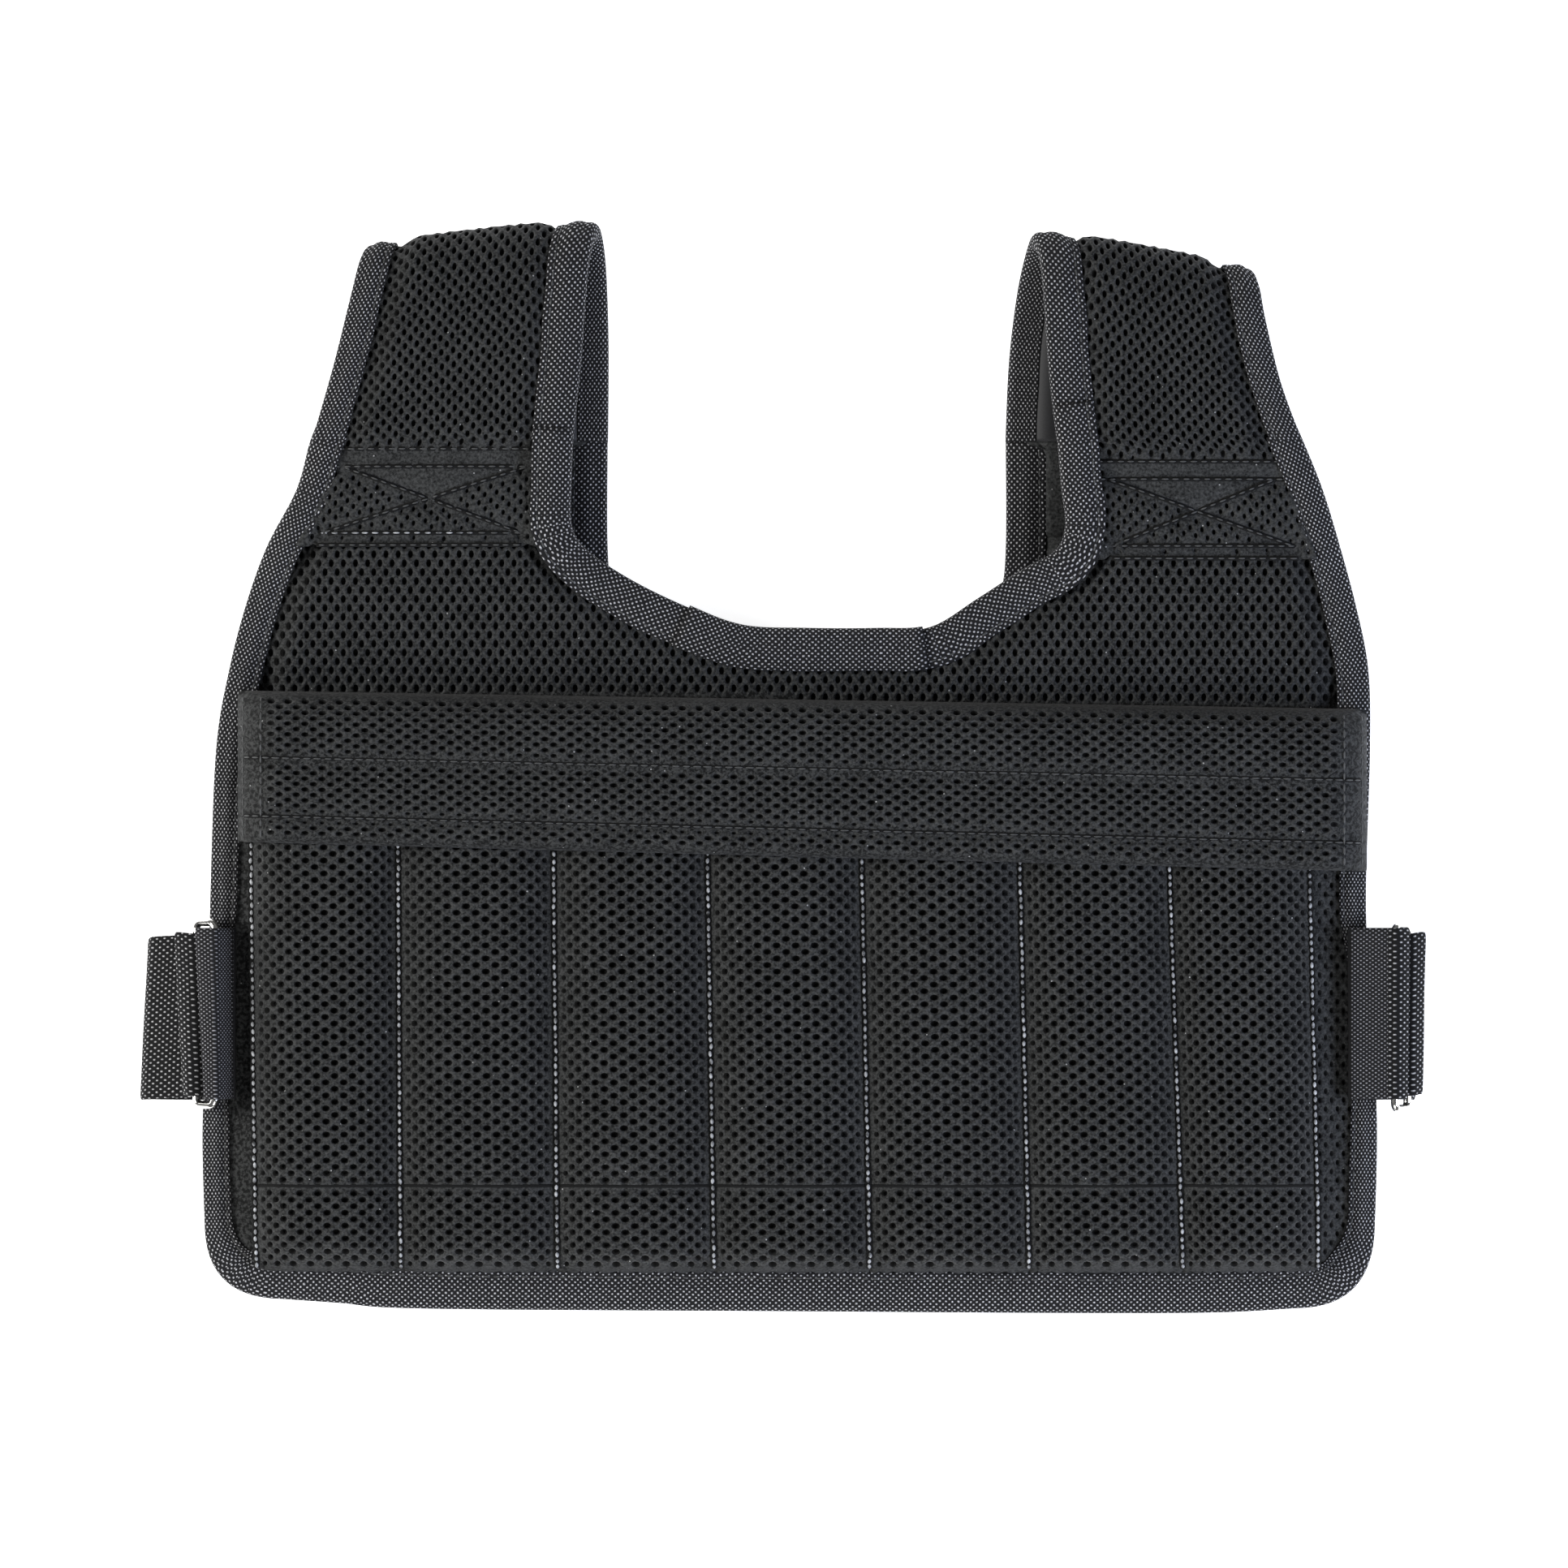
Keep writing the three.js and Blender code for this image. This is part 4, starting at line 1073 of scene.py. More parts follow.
@dataclass
class Panel:
    """A padded panel with its edges pressed flat in folded tape.

    Its hem is moved up by rise, and level is its underside. The tape's fold follows edge
    round the hem and both sides, and neckline round the neck.
    """

    name: str
    sides: tuple[tuple[float, float, float], ...]
    neck: tuple[tuple[float, float], ...]
    rise: float
    level: Surface
    knit: Knit
    edge: Array = field(init=False)
    neckline: Array = field(init=False)

    def __post_init__(self) -> None:
        """Works out the two lines that the tape follows."""
        left = spline([on_vest(-row[1], row[0]) for row in self.sides], 60)
        right = spline([on_vest(row[2], row[0]) for row in self.sides], 60)
        hem = np.array([on_vest(*row) for row in HEM_LINE]) + [0, self.rise]
        hem[0, 0], hem[-1, 0] = left[0, 0] + CORNER_RADIUS, right[0, 0] - CORNER_RADIUS
        hem = spline(hem, 90)
        corners = self._corner(left[0], hem[0]), self._corner(hem[-1], right[0], True)
        self.edge = self._inset(np.concatenate([left[::-1], corners[0], hem, corners[1], right]))
        self.neckline = self._inset(spline([on_vest(*row) for row in self.neck[::-1]], 120))

    def _corner(self, start: Array, end: Array, rising: bool = False) -> Array:
        """A rounded corner of the hem between two points."""
        square = np.array([end[0], start[1]]) if rising else np.array([start[0], end[1]])
        t = np.linspace(0, 1, 14)[1:-1, None]
        return (1 - t) ** 2 * start + 2 * t * (1 - t) * square + t**2 * end

    def _inset(self, line: Array) -> Array:
        """The line moved in from the tape's outside, with its points evenly spaced."""
        spacing = 2.6
        moved = line + sideways(line) * EDGE_LEVEL
        return even_line(moved, int(lengths(moved)[-1] / spacing))

    def outline(self) -> Array:
        """The panel's whole outline."""
        return np.concatenate([self.edge, self.neckline])

    def tape_widths(self, line: Array) -> Array:
        """How wide the tape shows: full at the hem, narrow at the sides and by the webbing.

        Args:
            line: The flat line of its fold.

        Returns:
            A share of its full reach for each point.
        """
        x, y = np.abs(line[:, 0]), line[:, 1]
        side = smooth(HALF_WIDTH * 0.9, HALF_WIDTH * 0.97, x) * smooth(8.0, 30.0, y)
        arm = smooth(HALF_WIDTH * 0.7, HALF_WIDTH * 0.78, x) * smooth(150.0, 190.0, y)
        pinch = 0.22 * np.exp(-(((y - TAB_CENTRE) / 26.0) ** 4)) * side
        return 1.0 - 0.36 * side * (1 - arm) - 0.2 * arm - pinch

    def from_edge(self, flat: Array) -> Array:
        """How far places on the panel lie from its edges."""
        return np.minimum(distance_to(flat, self.edge[::2]), distance_to(flat, self.neckline[::2]))

    def pad(self, flat: Array) -> Array:
        """Thickness of the panel over its underside at flat places."""
        inside = self.from_edge(flat)
        full = mix(EDGE_TOP, PANEL_THICKNESS, smooth(PAD_START - 3, PAD_START + PAD_SLOPE, inside))
        return mix(full, EDGE_TOP, smooth(STRAP_SEAT_FOOT - 5, STRAP_SEAT_FOOT + 1, flat[:, 1]))

    def top(self, x: Array, y: Array) -> Array:
        """The face with the air mesh's right side."""
        raise NotImplementedError

    def under(self, x: Array, y: Array) -> Array:
        """The face with its wrong side."""
        raise NotImplementedError

    def covers(self, flat: Array) -> Array:
        """Which places the cloth reaches: from fold to fold of the tape."""
        inside = is_inside(flat, self.outline()) & (self.from_edge(flat) > CLOTH_INSET)
        return inside & (flat[:, 1] < SHOULDER - 1)

    def lay(self, open_at: FlatRule | None = None, plain: int = 0) -> Draft:
        """The panel's cloth, with how open its holes are and the number of plain cells."""
        low, high = (-HALF_WIDTH, 0.0), (HALF_WIDTH, SHOULDER)
        return Cloth(
            self.knit, self.top, self.under, self.covers, low, high, open_at, plain=plain
        ).build()

    def bind(self, line: Array, heights: Array, seed: int) -> Draft:
        """Folds tape round an edge and sews it down.

        Args:
            line: The flat line of the tape's fold.
            heights: The tape's height at each of its points.
            seed: Which of many slight irregularities.

        Returns:
            The draft, with the stitches as material 1.
        """
        widths = self.tape_widths(line)
        tape = Binding()
        draft = tape.along(line, self.level, heights, widths, seed)
        draft.join(TAPE_SEAM.sew(tape.stitch_line(line, self.level, heights, widths), seed=seed), 1)
        return draft

    def finish_tape(self, word: str, draft: Draft, finishes: Finishes) -> bpy.types.Object:
        """Makes the piece of a bound edge, which is the edge or the neck."""
        piece = draft.to_object(f"{self.name}_{word}_tape", [finishes.tape, finishes.thread])
        finish_piece(piece, [f"{self.name}_{word}_binding"])
        return piece


@dataclass
class FrontPanel(Panel):
    """The front panel: its yoke shows above the flap, and pockets cover the rest."""

    # the ends of the flap's top seam, as shares of the length
    flap_top: tuple[float, float] = (0.567, 0.55)
    # how much higher the tape is where it also holds the straps
    seat_lift: float = 3.5
    neck_lift: float = 4.7
    # from where to where a second length of tape laps over the neck's
    overlap: tuple[float, float] = (-32.0, 42.5)
    # how far out and up to where the open mesh beside the pockets runs
    margin: tuple[float, float] = (162.5, 150.0)

    def flap_seam(self, x: Array) -> Array:
        """How far up the flap's top seam runs."""
        return mix(self.flap_top[0], self.flap_top[1], (x / HALF_WIDTH + 1) / 2) * VEST_LENGTH

    def crease(self, x: Array, y: Array) -> Array:
        """How deep the yoke sinks towards the flap's top seam."""
        beyond = y - self.flap_seam(x)
        return 3.2 * (1 - smooth(-2.0, 13.0, beyond)) * smooth(-30.0, -4.0, beyond)

    def top(self, x: Array, y: Array) -> Array:
        """The upper face."""
        flat = np.stack([x, y], axis=1)
        fold = 0.45 * ripple(x, y, 46.0, 4) * smooth(12, 30, self.from_edge(flat))
        z = self.level(x, y) + self.pad(flat) - self.crease(x, y) + fold
        return np.stack([x, y, z], axis=1)

    def under(self, x: Array, y: Array) -> Array:
        """The lower face."""
        flat = np.stack([x, y], axis=1)
        lift = mix(EDGE_LEVEL, 0.0, smooth(PAD_START - 3, PAD_START, self.from_edge(flat)))
        return np.stack([x, y, self.level(x, y) + lift], axis=1)

    def seat_heights(self, line: Array, lift: float) -> Array:
        """The tape is higher where it also holds a strap's end."""
        return BINDING_HEIGHT + lift * smooth(222.0, 240.0, line[:, 1])

    def build(self, finishes: Finishes) -> list[bpy.types.Object]:
        """Builds the panel and its tape.

        Args:
            finishes: The vest's materials.

        Returns:
            The pieces.
        """

        def open_at(flat: Array) -> Array:
            """The holes show in the yoke and, half closed, in the margin."""
            x, y = flat.T
            yoke = (y > self.flap_seam(x) + 1.0) & (y < STRAP_SEAT_FOOT - 3.0)
            margin = (x > self.margin[0]) & (y < self.margin[1])
            return np.where(yoke, 1.0, np.where(margin, 0.72, 0.0))

        covers_used = [finishes.mesh, finishes.depth, finishes.pressed]
        panel = self.lay(open_at, plain=2).to_object("front_panel_cloth", covers_used)
        finish_piece(panel, ["front_panel"])
        heights = self.seat_heights(self.edge, self.seat_lift)
        edge = self.finish_tape("edge", self.bind(self.edge, heights, 3), finishes)
        heights = self.seat_heights(self.neckline, self.neck_lift)
        draft = self.bind(self.neckline, heights, 5)
        draft.join(self._lap(self.neckline, heights))
        return [panel, edge, self.finish_tape("neck", draft, finishes)]

    def _lap(self, line: Array, heights: Array) -> Draft:
        """The separate length of tape that laps over the neckline's middle."""
        low, high = self.overlap
        part = (line[:, 0] > low) & (line[:, 0] < high)
        short = line[part] - sideways(line)[part] * 0.5
        wide = Binding(reach=BINDING_REACH + 0.6, fold=EDGE_LEVEL + 0.3)

        def below(x: Array, y: Array) -> Array:
            """The level of the tape's underside."""
            return self.level(x, y) - 0.5

        return wide.along(short, below, heights[part] + 1.4, np.ones(len(short)), 9)


@dataclass
class BackPanel(Panel):
    """The back panel, flat on the floor, with its air mesh facing down."""

    def top(self, x: Array, y: Array) -> Array:
        """The face on the floor, which is the cloth's right side."""
        flat = np.stack([x, y], axis=1)
        lift = mix(EDGE_LEVEL, 0.25, smooth(PAD_START - 4, PAD_START + 1, self.from_edge(flat)))
        return np.stack([x, y, self.level(x, y) + lift], axis=1)

    def under(self, x: Array, y: Array) -> Array:
        """The face towards the wearer."""
        flat = np.stack([x, y], axis=1)
        return np.stack([x, y, self.level(x, y) + self.pad(flat)], axis=1)

    def build(self, finishes: Finishes) -> list[bpy.types.Object]:
        """Builds the panel and its tape.

        Args:
            finishes: The vest's materials.

        Returns:
            The pieces.
        """
        panel = self.lay().to_object("back_panel_cloth", [finishes.mesh, finishes.depth])
        finish_piece(panel, ["back_panel"])
        made = [panel]
        for word, line, seed in (("edge", self.edge, 13), ("neck", self.neckline, 15)):
            draft = self.bind(line, np.full(len(line), BINDING_HEIGHT), seed)
            made.append(self.finish_tape(word, draft, finishes))
        return made


@dataclass
class Pockets:
    """Long pockets for weights, side by side on the front panel.

    A section with a fullness of 2 is a plain arch, and more is boxier. At the seams the
    cloth has still seam_rise of its height in the middle.
    """

    front: FrontPanel
    knit: Knit
    foot: float = 11.2
    mouth: float = 169.0
    height: float = POCKET_HEIGHT
    half_width: float = 22.6
    fullness: float = 3.1
    seam_rise: float = 0.26
    cross_seam: float = 38.3
    # share of half the width at the mouths and at the hem
    seams: tuple[tuple[float, float], ...] = (
        (-0.917, -0.906),
        (-0.665, -0.66),
        (-0.401, -0.393),
        (-0.141, -0.126),
        (0.12, 0.139),
        (0.388, 0.41),
        (0.64, 0.673),
        (0.881, 0.903),
    )
    # share of the pocket's length, share of its height
    profile: tuple[tuple[float, float], ...] = (
        (0.0, 0.02),
        (0.012, 0.42),
        (0.03, 0.7),
        (0.06, 0.86),
        (0.1, 0.92),
        (0.145, 0.9),
        (0.172, 0.74),
        (0.2, 0.9),
        (0.26, 0.98),
        (0.4, 1.0),
        (0.62, 1.0),
        (0.85, 0.95),
        (1.0, 0.85),
    )

    def seam_at(self, index: int, y: Array) -> Array:
        """Where a seam runs at a height over the hem."""
        mouth, hem = self.seams[index]
        return mix(hem, mouth, y / self.mouth) * HALF_WIDTH

    def rise(self, y: Array) -> Array:
        """A pocket's height at its middle, along its length."""
        share = (y - self.foot) / (self.mouth - self.foot)
        return self.height * np.interp(share, *spline(self.profile, 260).T)

    def arc(self) -> tuple[Array, Array, Array]:
        """The pocket's rounded section as places along its cloth.

        Returns:
            How far along the cloth from the middle, across as a share of half the
            pocket's width, and height as a share of its full height.
        """
        across = np.linspace(-1, 1, 400)
        high = 1 - np.abs(across) ** self.fullness
        run = lengths(np.stack([across * self.half_width, high * self.height], axis=1))
        return run - run[-1] / 2, across, high

    def base(self, x: Array, y: Array) -> Array:
        """The height of the front panel's cloth under the pockets."""
        return self.front.level(x, y) + self.front.pad(np.stack([x, y], axis=1))

    def faces(self, index: int) -> tuple[Surface, Surface, float]:
        """The upper and lower face of one pocket.

        Args:
            index: Which pocket, from the left.

        Returns:
            Both faces as functions of the place on the cloth, and half its width.
        """
        run, across, high = self.arc()
        reach = run[-1]

        def place(s: Array, t: Array) -> tuple[Array, Array, Array]:
            """Where the panel lies under a place on the cloth."""
            y = np.clip(t, self.foot, self.mouth)
            left, right = self.seam_at(index, y), self.seam_at(index + 1, y)
            share = np.interp(np.clip(s, -reach, reach), run, across)
            x = mix(left, right, (share + 1) / 2)
            return x, y, self.base(x, y)

        def top(s: Array, t: Array) -> Array:
            """The full outside, with slight folds."""
            x, y, base = place(s, t)
            share = np.interp(np.clip(s, -reach, reach), run, high)
            fold = 0.35 * ripple(x, y, 30.0, 20 + index) + 0.16 * ripple(x * 0.4, y, 9.0, 40 + index)
            z = base + 0.3 + mix(self.seam_rise, 1.0, share) * self.rise(y) + share * fold
            return np.stack([x, y, z], axis=1)

        def under(s: Array, t: Array) -> Array:
            """The flat side that rests on the panel."""
            x, y, base = place(s, t)
            return np.stack([x, y, base + 0.02], axis=1)

        return top, under, reach

    def build(self, finishes: Finishes) -> list[bpy.types.Object]:
        """Builds every pocket with the seam on its left.

        Args:
            finishes: The vest's materials.

        Returns:
            The pieces.
        """
        made = []
        last = len(self.seams) - 2
        stitches = Seam(stitch=1.7, gap=0.6, width=1.05, height=0.7)
        for index in range(last + 1):
            draft = self._cloth(index)
            for seam in (index, index + 1) if index == last else (index,):
                line = self._seam_line(seam)
                # a dark strip under the stitches is painted shade in the valley between two pockets
                draft.join(crease(line - [0, 0, 0.2], 1.9), 1)
                draft.join(stitches.sew(line, seed=60 + seam), 2)
            name = f"pocket_{index + 1}_cloth"
            piece = draft.to_object(name, [finishes.mesh, finishes.depth, finishes.worn_thread])
            finish_piece(piece, [f"pocket_{index + 1}"])
            made.append(piece)
        return made

    def _cloth(self, index: int) -> Draft:
        """The air mesh of one pocket, with painted shade along the crease across it.

        Args:
            index: Which pocket, from the left.

        Returns:
            The draft.
        """
        top, under, reach = self.faces(index)

        def clamp(flat: Array) -> Array:
            """Places beyond the pocket moved onto its edge."""
            low, high = (-reach, self.foot), (reach, self.mouth)
            return np.clip(flat, low, high)

        def covers(flat: Array) -> Array:
            """The pocket and what a hole's width beyond it is clamped to its edge."""
            s, t = flat.T
            return (np.abs(s) < reach + 1.2) & (t > self.foot - 0.9) & (t < self.mouth + 0.9)

        def open_at(flat: Array) -> Array:
            """The holes close beside the seams and at the row of stitches."""
            s, t = flat.T
            near_seam = mix(0.5, 1.0, smooth(reach - 1.5, reach - 6.0, np.abs(s)))
            quilt = smooth(0.2, 1.6, np.abs(t - self.cross_seam))
            return near_seam * mix(0.4, 1.0, quilt) * (np.abs(s) < reach - 1.4)

        low, high = (-reach, self.foot), (reach, self.mouth)
        draft = Cloth(self.knit, top, under, covers, low, high, open_at, clamp).build()
        across = np.linspace(1.5 - reach, reach - 1.5, 50)
        # a dark strip along the cross seam is painted shade of its furrow
        draft.join(crease(top(across, np.full(50, self.cross_seam)) + [0, 0, 0.45], 1.0), 1)
        return draft

    def _seam_line(self, index: int) -> Array:
        """The line of stitches between two pockets."""
        y = np.linspace(self.foot + 1.5, self.mouth, 90)
        x = self.seam_at(index, y)
        z = self.base(x, y) + 1.9 + self.seam_rise * self.rise(y)
        return np.stack([x + 0.35 * ripple(y, y * 0, 4.0, index), y, z], axis=1)


@dataclass
class Flap:
    """The wide flap over all pocket mouths, sewn down at its top and both ends.

    Its left and right end are given as a share of half the width, and as the shares of
    the length between which they stand. The channels are its rows of stitches, as shares
    of its height. It rises over the pockets within roll of its ends and drop of its seam.
    """

    front: FrontPanel
    knit: Knit
    left: tuple[float, float, float] = (-0.936, 0.43, 0.567)
    right: tuple[float, float, float] = (0.982, 0.403, 0.55)
    channels: tuple[float, ...] = (0.0, 0.17, 0.56, 1.0)
    thickness: float = 3.0
    puff: float = 2.2
    roll: float = 14.0
    drop: float = 14.0
    clear: float = POCKET_HEIGHT * 0.96 + SEAM_GAP
    hem: float = 7.2

    def share(self, s: Array, t: Array) -> tuple[Array, Array]:
        """Places on the cloth as shares of the flap's width and height."""
        return s / self.width, t / self.tall

    @property
    def width(self) -> float:
        """The flap's width."""
        return (self.right[0] - self.left[0]) * HALF_WIDTH

    @property
    def tall(self) -> float:
        """The flap's height from its lower edge to its top seam."""
        return (self.left[2] - self.left[1] + self.right[2] - self.right[1]) / 2 * VEST_LENGTH + 6.0

    def place(self, u: Array, v: Array) -> tuple[Array, Array, Array]:
        """Where places on the flap lie.

        Args:
            u: Shares of its width.
            v: Shares of its height.

        Returns:
            How far across and up the vest they lie, and the height of the lower face.
        """
        x = mix(self.left[0], self.right[0], u) * HALF_WIDTH
        low, high = mix(self.left[1], self.right[1], u), mix(self.left[2], self.right[2], u)
        y = mix(low, high, v) * VEST_LENGTH
        from_top = (high - low) * VEST_LENGTH * (1 - v)
        from_end = np.minimum(u, 1 - u) * self.width
        # the rise is a quarter of an oval, squarer as this grows from 2
        square = 2.4
        rise = [
            (1 - (1 - np.clip(share, 0, 1)) ** square) ** (1 / square)
            for share in (from_top / self.drop, from_end / self.roll)
        ]
        z = self.front.level(x, y) + PANEL_THICKNESS + SEAM_GAP + self.clear * rise[0] * rise[1]
        return x, y, z

    def top(self, s: Array, t: Array) -> Array:
        """The flap's upper face."""
        u, v = (np.clip(share, 0, 1) for share in self.share(s, t))
        x, y, z = self.place(u, v)
        swell = np.zeros_like(v)
        for low, high in zip(self.channels[:-1], self.channels[1:]):
            part = np.clip((v - low) / (high - low), 0, 1)
            swell = np.maximum(swell, np.sin(np.pi * part) ** 0.6)
        ends = smooth(self.hem - 2, self.hem + 4, np.minimum(u, 1 - u) * self.width)
        edge = np.sqrt(np.clip(1 - (1 - np.clip(v * self.tall / 1.1, 0, 1)) ** 2, 0, 1))
        lift = self.thickness * mix(0.45, 1.0, edge) * mix(0.8, 1.0, swell) + self.puff * swell * ends
        lift = lift * mix(0.35, 1.0, smooth(1.0, 0.9, v))
        fold = 0.3 * ripple(x, y, 34.0, 7) * ends
        return np.stack([x, y, z + lift + fold], axis=1)

    def under(self, s: Array, t: Array) -> Array:
        """The flap's lower face."""
        u, v = (np.clip(share, 0, 1) for share in self.share(s, t))
        return np.stack(self.place(u, v), axis=1)

    def build(self, finishes: Finishes) -> list[bpy.types.Object]:
        """Builds the flap with its rows of stitches.

        Args:
            finishes: The vest's materials.

        Returns:
            The piece in a list.
        """
        width, tall = self.width, self.tall

        def clamp(flat: Array) -> Array:
            """Places beyond the flap moved onto its edge."""
            return np.clip(flat, (0.0, 0.0), (width, tall))

        def covers(flat: Array) -> Array:
            """The flap and what a hole's width beyond it is clamped to its edge."""
            s, t = flat.T
            return (s > -1.2) & (s < width + 1.2) & (t > -0.9) & (t < tall + 0.9)

        def open_at(flat: Array) -> Array:
            """The holes close at the rows of stitches and in the hems."""
            s, t = flat.T
            from_end = np.minimum(s, width - s)
            quilt = np.ones_like(t)
            for line in self.channels[1:-1]:
                quilt = np.minimum(quilt, smooth(0.8, 3.4, np.abs(t - line * tall)))
            ends = smooth(self.hem, self.hem + 3, from_end) * (t > 1.9) * smooth(tall - 1.0, tall - 3, t)
            return ends * mix(0.42, 1.0, quilt)

        cloth = Cloth(
            self.knit, self.top, self.under, covers, (0.0, 0.0), (width, tall), open_at, clamp, plain=3
        )
        draft = cloth.build()
        for line in self.channels[1:-1]:
            s = np.linspace(2.0, width - 2.0, 240)
            t = np.full_like(s, line * tall)
            draft.join(self._row(s, t, 3), 2)
            # a dark strip along each row of stitches is painted shade of its furrow
            draft.join(crease(self.top(s, t) + [0, 0, 0.95], 1.2), 1)
        for s in (1.6, self.hem, width - self.hem, width - 1.6):
            t = np.linspace(1.0, tall - 2.0, 60)
            draft.join(self._row(np.full_like(t, s), t, 4), 2)
        covers_used = [finishes.mesh, finishes.depth, finishes.thread, finishes.pressed]
        piece = draft.to_object("pocket_flap_cloth", covers_used)
        finish_piece(piece, ["pocket_flap"])
        return [piece]

    def _row(self, s: Array, t: Array, seed: int) -> Draft:
        """A row of stitches along places on the cloth."""
        line = self.top(s, t) + [0, 0, 1.05]
        return Seam(stitch=2.4, gap=0.8, height=0.4, sink=0.0).sew(line, seed=seed)


# inner edge across and up, outer edge across and up, as shares of half the width and of
# the length, then the rise from the back to the front level, and whether it is sewn down
LEFT_STRAP = (
    (-0.442, 0.7, -0.792, 0.7, 1.0, True),
    (-0.438, 0.7965, -0.74, 0.7965, 1.0, True),
    (-0.367, 0.7973, -0.812, 0.7973, 1.0, False),
    (-0.353, 0.87, -0.775, 0.867, 1.0, False),
    (-0.343, 0.943, -0.746, 0.93, 0.97, False),
    (-0.334, 0.977, -0.732, 0.959, 0.81, False),
    (-0.323, 0.9905, -0.722, 0.968, 0.5, False),
    (-0.316, 0.977, -0.72, 0.956, 0.19, False),
    (-0.311, 0.943, -0.722, 0.925, 0.03, False),
    (-0.308, 0.88, -0.73, 0.87, 0.0, False),
    (-0.309, 0.7973, -0.742, 0.7973, 0.0, False),
    (-0.38, 0.7965, -0.67, 0.7965, 0.0, True),
    (-0.38, 0.71, -0.7, 0.71, 0.0, True),
)
RIGHT_STRAP = (
    (0.54, 0.688, 0.852, 0.688, 1.0, True),
    (0.532, 0.7965, 0.806, 0.7965, 1.0, True),
    (0.455, 0.7973, 0.874, 0.7973, 1.0, False),
    (0.442, 0.86, 0.838, 0.85, 1.0, False),
    (0.433, 0.93, 0.812, 0.907, 0.97, False),
    (0.426, 0.967, 0.802, 0.935, 0.81, False),
    (0.414, 0.982, 0.792, 0.946, 0.5, False),
    (0.403, 0.967, 0.784, 0.931, 0.19, False),
    (0.389, 0.93, 0.776, 0.9, 0.03, False),
    (0.376, 0.87, 0.773, 0.85, 0.0, False),
    (0.37, 0.7973, 0.776, 0.7973, 0.0, False),
    (0.44, 0.7965, 0.695, 0.7965, 0.0, True),
    (0.44, 0.71, 0.73, 0.71, 0.0, True),
)


@dataclass
class Ribbon:
    """A strip between two edge lines in space, with its right side up."""

    inner: Array
    outer: Array
    sign: int

    def __post_init__(self) -> None:
        """Works out the strip's middle line and its directions."""
        self.middle = (self.inner + self.outer) / 2
        self.run = lengths(self.middle)
        self.across = unit(self.outer - self.inner)
        along = unit(np.gradient(self.middle, axis=0))
        self.up = unit(np.cross(self.across, along)) * self.sign
        self.half = np.linalg.norm(self.outer - self.inner, axis=1) / 2

    def at(self, s: Array, t: Array, height: Array) -> Array:
        """Points on or over the strip.

        Args:
            s: How far along it they are.
            t: How far out from its middle.
            height: How far over it.

        Returns:
            The points.
        """
        middle, across, up = (resample(a, self.run, s) for a in (self.middle, self.across, self.up))
        return middle + unit(across) * t[:, None] + unit(up) * height[:, None]

    def half_at(self, s: Array) -> Array:
        """Half the strip's width at a length."""
        return np.interp(s, self.run, self.half)


